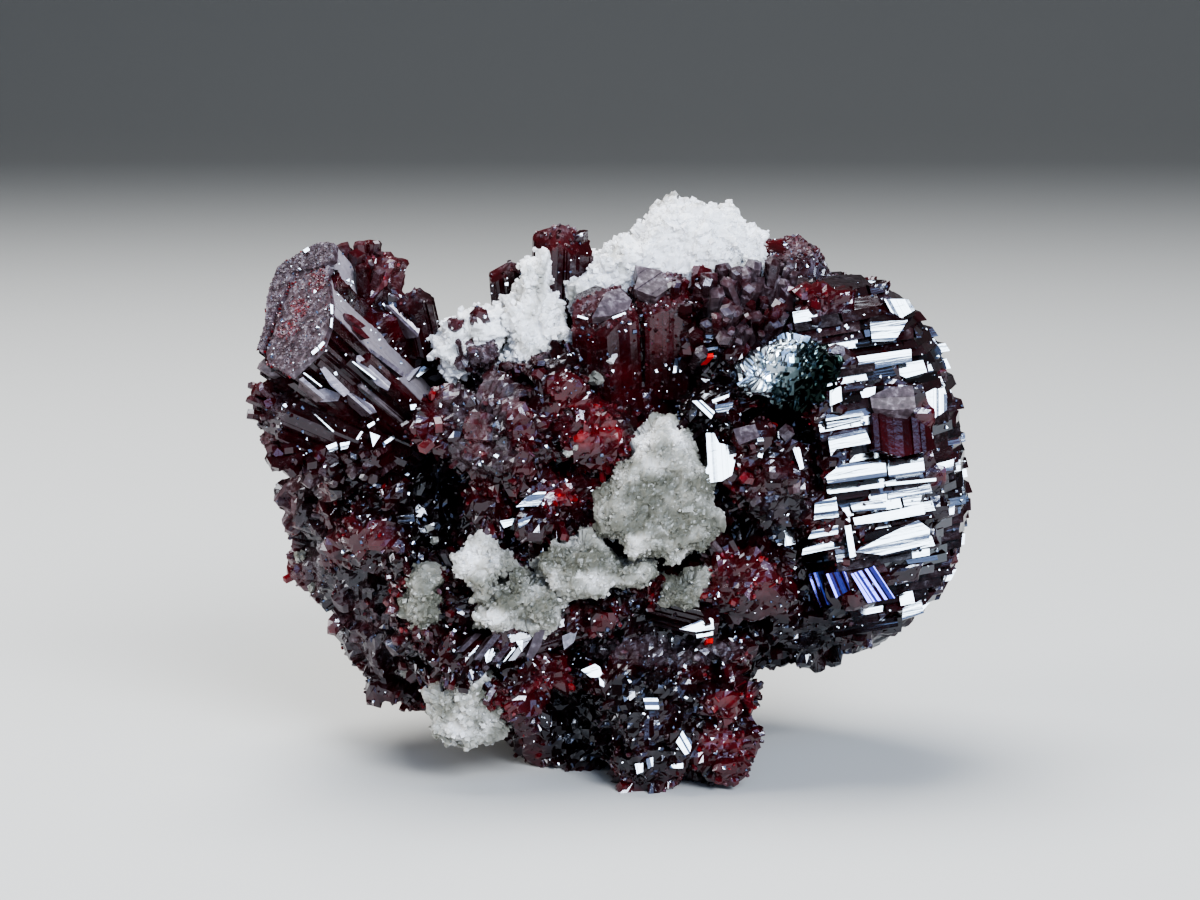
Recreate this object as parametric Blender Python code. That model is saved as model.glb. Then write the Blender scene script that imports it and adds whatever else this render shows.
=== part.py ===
# A proustite specimen: dark red crystals grown together in one mass, with white calcite and
# one grain of dark acanthite set in pockets of it. It rests on a flat broken face.
# The script works in millimetres and writes metres: +Z up, +X right, the front towards -Y.

import math
import random

import bmesh
import bpy
from mathutils import Matrix, Vector
from mathutils.bvhtree import BVHTree

MM = 0.001
FLAT_ANGLE = 0.0005  # faces that meet at less than this are one flat face
SHORTEST_EDGE = 0.001  # shorter edges are closed up

# The whole specimen, about
WIDTH = 20.0
DEPTH = 12.6
HEIGHT = 16.0
POCKET_GAP = 0.1  # clearance between the mass and what is set in it
SEED = 14

# Crystal habit: how far each end face leans from the crystal's own axis
LOW_CAP = math.radians(25)
STEEP_CAP = math.radians(43)

DARK_RED = (0.16, 0.012, 0.016, 1)
CALCITE_WHITE = (0.83, 0.83, 0.80, 1)
ACANTHITE_GREY = (0.10, 0.12, 0.12, 1)

# Boulders of massive proustite: centre, half sizes
BOULDERS = (
    ((-0.9, 0.5, 7.8), (4.7, 4.4, 4.2)),
    ((-5.4, 0.2, 7.7), (3.1, 3.4, 2.5)),
    ((-6.5, 0.5, 6.1), (2.2, 2.6, 2.1)),
    ((-4.5, 0.6, 4.0), (2.8, 3.2, 2.3)),
    ((1.0, -0.2, 4.6), (3.5, 3.5, 2.8)),
    ((0.8, 1.4, 1.4), (3.8, 3.6, 2.2)),
    ((4.2, 0.2, 7.8), (3.1, 3.8, 3.3)),
    ((6.2, 0.6, 5.2), (3.0, 3.3, 2.3)),
    ((0.4, 0.3, 11.2), (3.7, 3.0, 2.2)),
    ((5.2, 1.4, 11.1), (3.1, 3.0, 2.5)),
    ((-2.6, 2.6, 9.5), (2.9, 2.4, 2.3)),
    ((2.2, 3.2, 6.8), (4.0, 2.3, 3.7)),
    ((1.6, -2.5, 2.3), (2.1, 1.9, 2.6)),
)

# Knobs where many small crystals have grown into one rounded lump: centre, half sizes
KNOBS = (
    ((-2.5, -4.0, 9.9), (1.3, 1.2, 1.4)),
    ((-4.1, -3.7, 10.2), (0.9, 1.1, 0.8)),
    ((-1.2, -3.6, 11.2), (0.9, 1.0, 0.7)),
    ((-0.3, -3.7, 9.9), (1.1, 0.9, 1.0)),
    ((4.6, -3.7, 8.6), (1.2, 1.1, 1.2)),
    ((5.7, -3.5, 7.8), (0.8, 0.9, 0.8)),
    ((3.9, -3.6, 5.9), (1.2, 1.2, 1.2)),
    ((-5.9, -3.1, 7.0), (1.0, 1.0, 1.0)),
    ((-6.9, -2.3, 8.9), (1.5, 1.2, 0.8)),
    ((-4.6, -3.1, 4.9), (1.1, 1.1, 1.5)),
    ((-3.6, -3.5, 3.8), (1.1, 1.0, 0.7)),
    ((-1.9, -2.9, 3.2), (0.9, 1.4, 1.5)),
    ((3.3, -2.7, 12.0), (0.9, 1.0, 0.9)),
    ((3.2, -3.3, 10.4), (0.9, 0.9, 0.9)),
    ((-8.1, -0.4, 7.5), (0.95, 1.2, 0.9)),
    ((-1.3, -3.7, 8.1), (0.9, 0.9, 0.7)),
    ((-3.0, -3.6, 7.8), (0.7, 0.9, 0.6)),
    ((-0.4, -3.4, 4.9), (1.3, 1.0, 0.6)),
    ((7.9, -0.2, 4.5), (1.2, 1.8, 0.9)),
    ((-6.1, -2.4, 13.6), (0.85, 0.8, 0.9)),
    ((-1.0, 4.6, 8.6), (1.5, 1.1, 1.4)),
    ((4.2, 4.6, 9.2), (1.4, 1.1, 1.2)),
    ((-5.0, 3.4, 8.6), (1.4, 1.3, 1.2)),
    ((1.6, 4.9, 4.6), (1.5, 0.9, 1.3)),
)

# Pointed crystals: root, tip, radius
CRYSTALS = (
    ((-5.6, -2.6, 9.1), (-9.0, -4.6, 10.9), 0.8),
    ((-7.4, -3.0, 9.9), (-8.6, -4.3, 9.0), 0.5),
    ((-6.6, -2.6, 9.3), (-7.6, -4.4, 8.9), 0.5),
    ((-5.6, -2.6, 9.4), (-6.5, -4.5, 9.1), 0.45),
    ((-4.8, -2.0, 12.0), (-5.1, -2.9, 13.7), 0.5),
    ((-7.4, 1.2, 9.0), (-9.9, 1.3, 9.0), 0.75),
    ((-1.1, -1.0, 12.4), (-1.0, -1.9, 15.4), 0.75),
    ((-2.4, -0.4, 12.0), (-2.6, -0.6, 14.3), 0.5),
    ((0.3, -1.8, 10.4), (0.1, -3.5, 13.8), 0.95),
    ((1.6, -1.4, 11.0), (1.5, -2.9, 14.2), 0.95),
    ((4.8, 1.6, 11.4), (5.7, 2.8, 14.9), 1.2),
    ((5.8, 1.8, 11.2), (7.2, 2.6, 13.7), 1.1),
    ((3.7, -1.0, 12.0), (4.2, -2.2, 14.0), 0.6),
    ((1.7, -2.4, 4.4), (1.1, -3.9, -0.4), 1.1),
    ((2.9, -2.0, 4.6), (3.4, -3.7, 0.2), 1.0),
    ((-1.5, -2.4, 4.4), (-2.0, -4.0, 1.3), 0.8),
    ((-0.3, -3.4, 4.9), (-3.1, -4.3, 4.2), 0.55),
    ((1.4, -3.3, 5.0), (3.2, -4.6, 4.8), 0.4),
    ((-6.0, 1.6, 4.8), (-8.0, 2.6, 4.6), 0.8),
    ((-2.8, 2.6, 9.4), (-4.8, 4.9, 11.2), 1.3),
    ((0.8, 2.2, 11.4), (1.2, 4.0, 13.6), 1.0),
    ((2.4, 3.4, 6.4), (4.4, 6.1, 6.6), 1.3),
    ((-3.8, 2.8, 5.2), (-5.4, 5.3, 4.4), 1.2),
    ((-1.0, 3.6, 6.0), (-1.8, 6.1, 6.2), 1.0),
    ((5.6, 2.4, 4.6), (7.2, 4.6, 3.6), 1.0),
)

# The big upper-left crystal, which widens towards its flat end: how far its six sides are from
# its axis at that end, the first of them turned this far round the axis from the front
BIG_ROOT = Vector((-5.1, -1.3, 9.9))
BIG_TIP = Vector((-8.05, -4.5, 13.25))
BIG_SIDES = (1.15, 1.7, 1.75, 1.05, 1.55, 1.7)
BIG_FLARE = math.radians(6)
BIG_TURN = math.radians(45)

# Thin crystals along the big one, which give it stepped sides: degrees round its axis from the
# front, distance from its axis at their ends, how far along it they end, radius
BARS = (
    (-100, 1.60, 0.78, 0.44),
    (-80, 1.75, 0.86, 0.36),
    (-62, 1.80, 0.80, 0.34),
    (-44, 1.85, 0.93, 0.28),
    (-26, 1.75, 0.80, 0.34),
    (-6, 1.60, 0.90, 0.28),
    (14, 1.30, 0.72, 0.34),
    (100, 1.65, 0.62, 0.40),
)

# The barrel on the right: a stack of bars in parallel growth inside a rounded envelope
BARREL_CENTRE = Vector((6.5, 0.1, 8.7))
BARREL_REACH = Vector((3.6, 4.1, 5.0))
BARREL_YAW = math.radians(10)
BARREL_TILT = math.radians(-8)
BARREL_LEVELS = 12
BARREL_COLUMNS = 5
BARREL_SQUARENESS = 2.6  # 2 makes the envelope an ellipsoid, more makes it boxier

# Small crystals strewn over the mass
SMALL_CRYSTALS = 45
SMALL_RADIUS = (0.25, 0.55)
SMALL_LENGTH = (0.4, 1.0)
SMALL_RANGE = (-9.3, 5.5)  # from side to side, which leaves the barrel bare

# Hollows between the crystals: centre, half sizes
PITS = (
    ((-4.5, -4.0, 7.7), (0.8, 1.9, 1.1)),
    ((3.7, -4.5, 7.2), (0.8, 1.3, 0.35)),
    ((-0.9, -3.6, 1.2), (0.6, 2.2, 1.6)),
    ((4.9, -4.0, 3.6), (0.8, 1.7, 1.1)),
    ((2.2, -4.3, 11.6), (0.8, 1.2, 0.6)),
)

# White calcite: node name, outline seen from the front (x, z), where its middle lies in Y and
# how deep it reaches each way from there
CALCITE = (
    ("calcite_crest_top",
     ((1.0, 14.9), (1.4, 15.5), (2.0, 15.9), (3.6, 15.6), (4.3, 15.0), (4.5, 14.1), (2.4, 13.0),
      (0.6, 13.2), (-0.9, 12.8), (-1.0, 13.5), (-0.2, 14.4)), -1.2, 1.3),
    ("calcite_crest_middle",
     ((-2.6, 13.2), (-2.1, 13.6), (-2.1, 14.3), (-1.5, 14.5), (-1.2, 13.0), (-0.9, 12.4),
      (-1.1, 11.4), (-2.3, 11.3)), -2.6, 1.0),
    ("calcite_crest_left",
     ((-4.4, 12.1), (-4.0, 12.7), (-3.3, 13.0), (-2.75, 13.1), (-2.6, 11.3), (-4.0, 11.3)), -2.6, 0.9),
    ("calcite_centre",
     ((1.5, 10.2), (2.3, 10.0), (3.0, 8.4), (3.2, 7.5), (2.8, 6.8), (1.9, 6.5), (0.9, 6.7),
      (0.0, 7.3), (0.1, 8.5), (0.8, 9.5)), -4.1, 0.9),
    ("calcite_below_centre",
     ((-1.2, 6.9), (-0.4, 7.2), (0.2, 6.7), (0.8, 6.35), (1.5, 6.2), (1.1, 5.8), (-0.3, 5.6),
      (-1.3, 5.7), (-1.6, 6.1)), -4.1, 0.8),
    ("calcite_right_sliver", ((1.75, 5.9), (2.8, 6.1), (3.0, 5.6), (2.6, 5.2), (1.7, 5.3)), -3.9, 0.7),
    ("calcite_lower_left",
     ((-4.0, 6.6), (-3.4, 7.1), (-2.9, 7.2), (-2.4, 6.5), (-2.8, 6.1), (-3.2, 5.6), (-3.6, 6.0)),
     -4.1, 0.8),
    ("calcite_lower_right",
     ((-3.0, 5.35), (-2.6, 5.9), (-2.2, 6.2), (-1.75, 5.9), (-0.9, 5.45), (-1.2, 4.9), (-1.7, 4.7),
      (-3.4, 4.7), (-3.5, 5.0)), -4.1, 0.8),
    ("calcite_foot_left",
     ((-4.7, 2.8), (-3.9, 3.0), (-3.2, 3.3), (-2.8, 2.8), (-2.7, 2.3), (-3.0, 1.6), (-4.1, 1.3),
      (-4.6, 1.8)), -3.6, 0.9),
    ("calcite_small_grey",
     ((-5.4, 5.3), (-5.1, 6.0), (-4.5, 6.2), (-4.2, 5.6), (-4.3, 4.6), (-5.1, 4.4)), -3.6, 0.8),
    ("calcite_back_upper",
     ((-2.3, 12.1), (-1.6, 13.0), (-0.5, 12.8), (0.4, 12.0), (0.3, 11.0), (-0.8, 10.7), (-2.0, 11.2)),
     3.5, 1.1),
    ("calcite_back_lower",
     ((3.2, 4.6), (3.8, 5.5), (4.9, 5.6), (5.6, 4.8), (5.2, 3.9), (4.0, 3.4)), 4.3, 1.1),
)
CALCITE_ROUNDING = 0.35  # how far in each end face of a calcite piece is set back

# The acanthite grain, as the calcite
ACANTHITE = (
    "acanthite_grain",
    ((3.9, 11.4), (4.4, 12.0), (5.2, 12.2), (6.2, 11.9), (6.2, 11.1), (5.6, 10.7), (4.6, 10.8)),
    -3.6, 0.8)


def clear_scene():
    for item in list(bpy.data.objects):
        bpy.data.objects.remove(item)


def plain_material(name, colour, roughness, metallic=0.0):
    material = bpy.data.materials.new(name)
    material.use_nodes = True
    shader = material.node_tree.nodes["Principled BSDF"]
    shader.inputs["Base Color"].default_value = colour
    shader.inputs["Roughness"].default_value = roughness
    shader.inputs["Metallic"].default_value = metallic
    return material


def block_between(planes, low, high):
    """A convex solid: the box from low to high, cut back by each (normal, distance) plane."""
    block = bmesh.new()
    bmesh.ops.create_cube(block, size=1)
    size = high - low
    for vert in block.verts:
        vert.co = Vector(low[i] + (vert.co[i] + 0.5) * size[i] for i in range(3))
    for normal, distance in planes:
        everything = block.verts[:] + block.edges[:] + block.faces[:]
        bmesh.ops.bisect_plane(block, geom=everything, dist=1e-5, plane_co=normal * distance,
                               plane_no=normal, clear_outer=True)
        rim = [edge for edge in block.edges if edge.is_boundary]
        if rim:
            bmesh.ops.holes_fill(block, edges=rim)
    return block


def leaning(angle_round, angle_off_axis):
    """A unit vector that leans off +Z by one angle, in the direction that the other gives."""
    across = math.sin(angle_off_axis)
    return Vector((across * math.cos(angle_round), across * math.sin(angle_round),
                   math.cos(angle_off_axis)))


def crystal(root, tip, radius, dice, uneven=0.16):
    """A six-sided prism from root to tip, ended by three low and three steep faces."""
    root = Vector(root)
    axis = Vector(tip) - root
    length = axis.length
    turn = dice.uniform(0, math.tau)
    planes = []
    for k in range(6):
        side = radius * (1 - uneven * dice.random())
        planes.append((leaning(turn + k * math.tau / 6, math.pi / 2), side))
    for k in range(3):
        low = leaning(turn + k * math.tau / 3, LOW_CAP + dice.uniform(-0.12, 0.05))
        steep = leaning(turn + (k + 0.5) * math.tau / 3, STEEP_CAP)
        planes.append((low, low.z * length))
        planes.append((steep, steep.z * (length - radius * dice.uniform(-0.1, 0.25))))
    far = 1.3 * radius
    block = block_between(planes, Vector((-far, -far, 0)), Vector((far, far, length)))
    stand = Matrix.Translation(root) @ axis.to_track_quat("Z", "Y").to_matrix().to_4x4()
    block.transform(stand)
    return block


def nugget(centre, half_sizes, dice, faces=20):
    """A broken lump: an ellipsoid's box cut by flat faces that touch the ellipsoid."""
    half_sizes = Vector(half_sizes)
    planes = []
    for k in range(faces):
        height = 1 - 2 * (k + 0.5) / faces
        flat = math.sqrt(1 - height * height)
        angle = k * math.pi * (3 - math.sqrt(5)) + dice.uniform(-0.35, 0.35)
        normal = Vector((flat * math.cos(angle), flat * math.sin(angle), height))
        reach = Vector(normal[i] * half_sizes[i] for i in range(3)).length
        planes.append((normal, reach * dice.uniform(0.86, 1.0)))
    block = block_between(planes, -half_sizes, half_sizes)
    block.transform(Matrix.Translation(Vector(centre)))
    return block


def brick(centre, half_sizes, turn, dice):
    """One bar of the barrel: a box with its long front edges cut narrowly, lying along X."""
    half_sizes = Vector(half_sizes)
    planes = []
    for z_sign in (-1, 1):
        normal = Vector((0, -1, z_sign * dice.uniform(0.8, 1.3))).normalized()
        corner = half_sizes.y * abs(normal.y) + half_sizes.z * abs(normal.z)
        planes.append((normal, corner - 0.1))
    lean = Vector((1, dice.uniform(-0.15, 0.15), dice.uniform(-0.35, 0.35))).normalized()
    planes.append((lean, lean.x * half_sizes.x * 0.97))
    block = block_between(planes, -half_sizes, half_sizes)
    block.transform(turn @ Matrix.Translation(Vector(centre)))
    return block


def barrel(dice):
    """The bars of the barrel, each as long as its rounded envelope leaves room for."""
    turn = (Matrix.Translation(BARREL_CENTRE) @ Matrix.Rotation(BARREL_YAW, 4, "Z")
            @ Matrix.Rotation(BARREL_TILT, 4, "Y"))
    bars = []
    step_z = 2 * BARREL_REACH.z / BARREL_LEVELS
    step_y = 2 * BARREL_REACH.y / BARREL_COLUMNS
    for column in range(BARREL_COLUMNS):
        y = (column + 0.5) * step_y - BARREL_REACH.y
        stride = 1 if y < 0 else 2
        for level in range(0, BARREL_LEVELS, stride):
            z = (level + 0.5 * stride) * step_z - BARREL_REACH.z
            room = 1 - abs(z / BARREL_REACH.z) ** BARREL_SQUARENESS - (y / BARREL_REACH.y) ** 2
            if room < 0.02:
                continue
            length = BARREL_REACH.x * room ** (1 / BARREL_SQUARENESS) * dice.uniform(0.9, 1.0)
            buried = dice.uniform(0.8, 1.4)
            half_sizes = ((length + buried) / 2, step_y * dice.uniform(0.52, 0.64),
                          stride * step_z * dice.uniform(0.44, 0.54))
            bars.append(brick(((length - buried) / 2, y, z), half_sizes, turn, dice))
    return bars


def big_crystal(dice):
    """The big flat-ended crystal and the thin ones that have grown along it."""
    run = BIG_TIP - BIG_ROOT
    length = run.length
    front = Vector((0, -1, 0)) - Vector((0, -1, 0)).project(run)
    front.normalize()
    stand = run.to_track_quat("Z", "Y").to_matrix()
    faced = stand.inverted() @ front
    turn = math.atan2(faced.y, faced.x) + BIG_TURN
    planes = []
    for k, side in enumerate(BIG_SIDES):
        normal = leaning(turn + k * math.tau / 6, math.pi / 2 + BIG_FLARE)
        planes.append((normal, side * math.cos(BIG_FLARE) - length * math.sin(BIG_FLARE)))
    far = 1.5 * max(BIG_SIDES)
    trunk = block_between(planes, Vector((-far, -far, 0)), Vector((far, far, length)))
    trunk.transform(Matrix.Translation(BIG_ROOT) @ stand.to_4x4())
    blocks = [trunk]
    for degrees, reach, end, radius in BARS:
        out = Matrix.Rotation(math.radians(degrees), 3, run) @ front
        foot = BIG_ROOT + out * (reach - length * end * math.tan(BIG_FLARE))
        blocks.append(crystal(foot, BIG_ROOT + run * end + out * reach, radius, dice))
    return blocks


def slab(outline, middle, half_depth, grow=0.0):
    """A flat lump with this outline (x, z), its two end faces set in, all moved out by grow."""
    count = len(outline)
    points = [Vector(point) for point in outline]
    centre = sum(points, Vector((0, 0))) / count
    rim = []
    for k in range(count):
        before = (points[k] - points[k - 1]).normalized()
        after = (points[(k + 1) % count] - points[k]).normalized()
        outward = Vector((-before.y - after.y, before.x + after.x)).normalized()
        open_corner = max(outward.dot(Vector((-before.y, before.x))), 0.5)
        rim.append(points[k] + outward * grow / open_corner)
    inner = [point + (centre - point).normalized() * CALCITE_ROUNDING for point in rim]
    reach = half_depth + grow
    block = bmesh.new()
    rings = []
    for depth, ring in ((-reach, inner), (CALCITE_ROUNDING - reach, rim),
                        (reach - CALCITE_ROUNDING, rim), (reach, inner)):
        rings.append([block.verts.new((point.x, middle + depth, point.y)) for point in ring])
    for near, far in zip(rings, rings[1:]):
        for k in range(count):
            after = (k + 1) % count
            block.faces.new((near[k], near[after], far[after], far[k]))
    block.faces.new(rings[0])
    block.faces.new(rings[-1])
    bmesh.ops.triangulate(block, faces=block.faces[:])
    return block


def mesh_object(name, block, material=None):
    """Turns a block in millimetres into an object in metres."""
    bmesh.ops.recalc_face_normals(block, faces=block.faces[:])
    block.transform(Matrix.Scale(MM, 4))
    mesh = bpy.data.meshes.new(name)
    block.to_mesh(mesh)
    block.free()
    made = bpy.data.objects.new(name, mesh)
    bpy.context.scene.collection.objects.link(made)
    if material:
        mesh.materials.append(material)
    return made


def in_triangles(target):
    """Splits every face into triangles, which stay flat through the next Boolean."""
    body = bmesh.new()
    body.from_mesh(target.data)
    bmesh.ops.triangulate(body, faces=body.faces[:])
    body.to_mesh(target.data)
    body.free()


def combined(target, blocks, operation):
    """Applies one Boolean of the target with all the blocks, and removes them."""
    tools = bpy.data.collections.new(operation.lower())
    bpy.context.scene.collection.children.link(tools)
    for block in blocks:
        tool = mesh_object("tool", block)
        bpy.context.scene.collection.objects.unlink(tool)
        tools.objects.link(tool)
    boolean = target.modifiers.new(operation.lower(), "BOOLEAN")
    boolean.operation = operation
    boolean.operand_type = "COLLECTION"
    boolean.collection = tools
    boolean.solver = "EXACT"
    graph = bpy.context.evaluated_depsgraph_get()
    result = bpy.data.meshes.new_from_object(target.evaluated_get(graph))
    target.modifiers.clear()
    target.data = result
    in_triangles(target)
    for tool in list(tools.objects):
        bpy.data.objects.remove(tool)
    bpy.data.collections.remove(tools)


def tidied(target):
    """Deletes chips that a cut left loose beside the main body, and joins what is flat."""
    body = bmesh.new()
    body.from_mesh(target.data)
    unseen = set(body.verts)
    pieces = []
    while unseen:
        reached = {unseen.pop()}
        edge_of_piece = list(reached)
        while edge_of_piece:
            vert = edge_of_piece.pop()
            for edge in vert.link_edges:
                other = edge.other_vert(vert)
                if other not in reached:
                    reached.add(other)
                    edge_of_piece.append(other)
        unseen -= reached
        pieces.append(reached)
    pieces.sort(key=len)
    for chip in pieces[:-1]:
        bmesh.ops.delete(body, geom=list(chip), context="VERTS")
    bmesh.ops.dissolve_degenerate(body, dist=SHORTEST_EDGE * MM, edges=body.edges[:])
    bmesh.ops.dissolve_limit(body, angle_limit=FLAT_ANGLE, verts=body.verts[:], edges=body.edges[:])
    bmesh.ops.triangulate(body, faces=body.faces[:])
    body.to_mesh(target.data)
    body.free()


def surface_of(blocks):
    """All the faces of the blocks as one tree that rays can be cast at from outside."""
    points = []
    faces = []
    for block in blocks:
        first = len(points)
        block.verts.index_update()
        points += [vert.co.copy() for vert in block.verts]
        faces += [[first + vert.index for vert in face.verts] for face in block.faces]
    return BVHTree.FromPolygons(points, faces)


def strewn_crystals(surface, dice):
    """Small crystals rooted all over the mass, leaning a little off the surface."""
    middle = Vector((0, 0, HEIGHT / 2))
    found = []
    while len(found) < SMALL_CRYSTALS:
        height = dice.uniform(-0.85, 1)
        angle = dice.uniform(0, math.tau)
        flat = math.sqrt(1 - height * height)
        heading = Vector((flat * math.cos(angle), flat * math.sin(angle), height))
        start = middle + Vector((heading.x * WIDTH, heading.y * DEPTH, heading.z * HEIGHT))
        place, normal, _, _ = surface.ray_cast(start, middle - start)
        if place is None:
            continue
        lean = Vector(dice.uniform(-0.6, 0.6) for _ in range(3))
        out = (normal + lean).normalized()
        tip = place + out * dice.uniform(*SMALL_LENGTH)
        if not SMALL_RANGE[0] < tip.x < SMALL_RANGE[1]:
            continue
        radius = dice.uniform(*SMALL_RADIUS)
        found.append(crystal(place - out * 0.5, tip, radius, dice))
    return found


def floor_block():
    return block_between((), Vector((-WIDTH, -WIDTH, -HEIGHT)), Vector((WIDTH, WIDTH, 0)))


def proustite_mass(material):
    """The one intergrown body of proustite, with pockets for the minerals set in it."""
    dice = random.Random(SEED)
    blocks = [nugget(centre, sizes, dice, faces=20) for centre, sizes in BOULDERS]
    blocks += [nugget(centre, sizes, dice, faces=15) for centre, sizes in KNOBS]
    blocks += [crystal(root, tip, radius, dice) for root, tip, radius in CRYSTALS]
    blocks += big_crystal(dice)
    blocks += barrel(dice)
    blocks += strewn_crystals(surface_of(blocks), dice)
    mass = mesh_object("proustite_mass", blocks[0], material)
    combined(mass, blocks[1:], "UNION")
    cutters = [nugget(centre, sizes, dice, faces=12) for centre, sizes in PITS]
    for _, outline, middle, half_depth in CALCITE + (ACANTHITE,):
        cutters.append(slab(outline, middle, half_depth, POCKET_GAP))
    cutters.append(floor_block())
    combined(mass, cutters, "DIFFERENCE")
    tidied(mass)
    return mass


def centre_over_origin(pieces):
    """Moves the specimen so that the middle of its box stands on the origin."""
    points = [vert.co for piece in pieces for vert in piece.data.vertices]
    low = Vector(min(point[i] for point in points) for i in range(3))
    high = Vector(max(point[i] for point in points) for i in range(3))
    shift = Vector((-(low.x + high.x) / 2, -(low.y + high.y) / 2, -low.z))
    for piece in pieces:
        piece.data.transform(Matrix.Translation(shift))


def main():
    clear_scene()
    red = plain_material("proustite", DARK_RED, 0.2)
    white = plain_material("calcite", CALCITE_WHITE, 0.6)
    grey = plain_material("acanthite", ACANTHITE_GREY, 0.3, 0.8)
    pieces = [proustite_mass(red)]
    for name, outline, middle, half_depth in CALCITE:
        pieces.append(mesh_object(name, slab(outline, middle, half_depth), white))
    name, outline, middle, half_depth = ACANTHITE
    pieces.append(mesh_object(name, slab(outline, middle, half_depth), grey))
    centre_over_origin(pieces)


main()
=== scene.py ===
# The looks of a proustite specimen. Lengths are in millimetres until a mesh is stored, in the
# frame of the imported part: +Z up, +X right, the front towards -Y.
import math

import bmesh
import bpy
import numpy as np
from mathutils import Matrix, Vector, kdtree, noise
from mathutils.bvhtree import BVHTree


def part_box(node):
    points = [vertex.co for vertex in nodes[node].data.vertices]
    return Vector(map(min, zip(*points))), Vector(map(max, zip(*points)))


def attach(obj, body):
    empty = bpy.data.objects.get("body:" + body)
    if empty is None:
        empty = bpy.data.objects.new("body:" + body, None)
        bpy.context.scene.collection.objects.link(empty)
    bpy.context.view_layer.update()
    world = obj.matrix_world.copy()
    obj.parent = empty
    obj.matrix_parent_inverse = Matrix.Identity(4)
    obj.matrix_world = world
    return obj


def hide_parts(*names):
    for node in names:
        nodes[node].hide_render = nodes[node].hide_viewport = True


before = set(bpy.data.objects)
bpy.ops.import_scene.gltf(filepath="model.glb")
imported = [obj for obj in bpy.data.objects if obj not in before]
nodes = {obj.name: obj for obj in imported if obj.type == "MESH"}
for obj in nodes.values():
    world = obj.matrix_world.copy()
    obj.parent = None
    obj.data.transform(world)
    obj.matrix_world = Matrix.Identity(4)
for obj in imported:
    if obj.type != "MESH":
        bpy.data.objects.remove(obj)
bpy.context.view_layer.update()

MM = 0.001
BODY = "root"

# The seed of each piece's random draws
SEEDS = {
    "body": 3, "crystals": 11, "bunches": 14, "crust": 15, "big": 21, "barrel": 31, "small": 41,
    "fine": 42, "fringe": 43, "bright": 51, "dull": 52, "violet": 53, "sheen": 54, "glints": 61,
    "specks": 62, "sugar": 100, "glitter": 201,
}

# The named places below are measured from the middle of this calcite piece
ANCHOR_NODE = "calcite_centre"
ANCHOR_AT = Vector((1.6, -4.1, 8.35))
anchor_low, anchor_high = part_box(ANCHOR_NODE)
OFFSET = np.array((anchor_low + anchor_high) / 2 / MM - ANCHOR_AT)


def moved(place):
    """A named place in the part's frame."""
    return np.array(place) + OFFSET


# Camera, as the photograph was taken
PHOTO_WIDTH = 1200
PHOTO_MIDDLE = (600, 450)
CAMERA_AIM = moved((0.0, 0.0, 8.863))
CAMERA_DISTANCE = 80.0
CAMERA_ELEVATION = math.radians(8)
CAMERA_LENS = 85.0
CAMERA_SENSOR = 36.0
PIXEL = CAMERA_SENSOR / CAMERA_LENS / PHOTO_WIDTH
TO_CAMERA = np.array((0.0, -math.cos(CAMERA_ELEVATION), math.sin(CAMERA_ELEVATION)))
CAMERA_UP = np.array((0.0, math.sin(CAMERA_ELEVATION), math.cos(CAMERA_ELEVATION)))
CAMERA_RIGHT = np.array((1.0, 0.0, 0.0))
CAMERA_AT = CAMERA_AIM + TO_CAMERA * CAMERA_DISTANCE

# The light that the bright crystal faces mirror
KEY_AT = np.array((75.0, -190.0, 115.0))

# The squares of the even skins: the body's, the calcite's and the acanthite's
VOXEL = 0.134
CALCITE_VOXEL = 0.075
METAL_VOXEL = 0.06

# Flat facets on a skin: how far apart, how tilted, how far in or out, the most a point moves
BODY_FACETS = (0.9, 0.45, 0.10, 0.22)
BODY_FINE_FACETS = (0.34, 0.40, 0.03, 0.07)
SUGAR_FACETS = (0.45, 0.45, 0.06)
SUGAR_FINE_FACETS = (0.16, 0.35, 0.02, 0.05)
METAL_FACETS = (0.55, 0.7, 0.05, 0.2)
METAL_FINE_FACETS = (0.16, 0.5, 0.02, 0.05)

# The barrel: a stack of bars in parallel growth inside a rounded envelope, turned about Z and
# tilted up to the right. Its axes run along the bars, away from the front, and up
BARREL_CENTRE = moved((6.5, 0.1, 8.7))
BARREL_REACH = np.array((3.6, 4.1, 5.0))
BARREL_LEVELS = 42
BARREL_COLUMNS = 6
BARREL_SQUARENESS = 2.6
BARREL_YAW = math.radians(10)
BARREL_TILT = math.radians(-8)
BARREL_AXES = np.array(Matrix.Rotation(BARREL_YAW, 3, "Z") @ Matrix.Rotation(BARREL_TILT, 3, "Y"))

# Its bars: where along the axis they begin, and how long their stretches are
BAR_START = -1.2
BAR_STRETCH = (0.5, 2.4)

# How many stretches are tilted to mirror the light, how far in degrees and how unevenly, and
# how far the others are
LIT_SHARE = 0.30
LIT_TILT = (18.7, 4.0)
DARK_TILT = (28, 42)


def dice(name, number=0):
    """The random draws of a piece, or of one of several alike."""
    return np.random.default_rng(SEEDS[name] + number)


def unit(rows):
    """Each vector scaled to length one."""
    return rows / np.maximum(np.linalg.norm(rows, axis=-1, keepdims=True), 1e-9)


def directions(count, rng):
    """Unit vectors in all directions."""
    return unit(rng.normal(size=(count, 3)))


def ray(pixel):
    """The way from the camera through a pixel of the photograph."""
    x = (pixel[0] - PHOTO_MIDDLE[0]) * PIXEL
    y = (PHOTO_MIDDLE[1] - pixel[1]) * PIXEL
    return unit(CAMERA_RIGHT * x + CAMERA_UP * y - TO_CAMERA)


def pixels_of(points):
    """Where points would be in the photograph."""
    away = points - CAMERA_AT
    depth = -(away @ TO_CAMERA)
    x = PHOTO_MIDDLE[0] + (away @ CAMERA_RIGHT) / depth / PIXEL
    y = PHOTO_MIDDLE[1] - (away @ CAMERA_UP) / depth / PIXEL
    return np.stack([x, y], axis=1)


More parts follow.
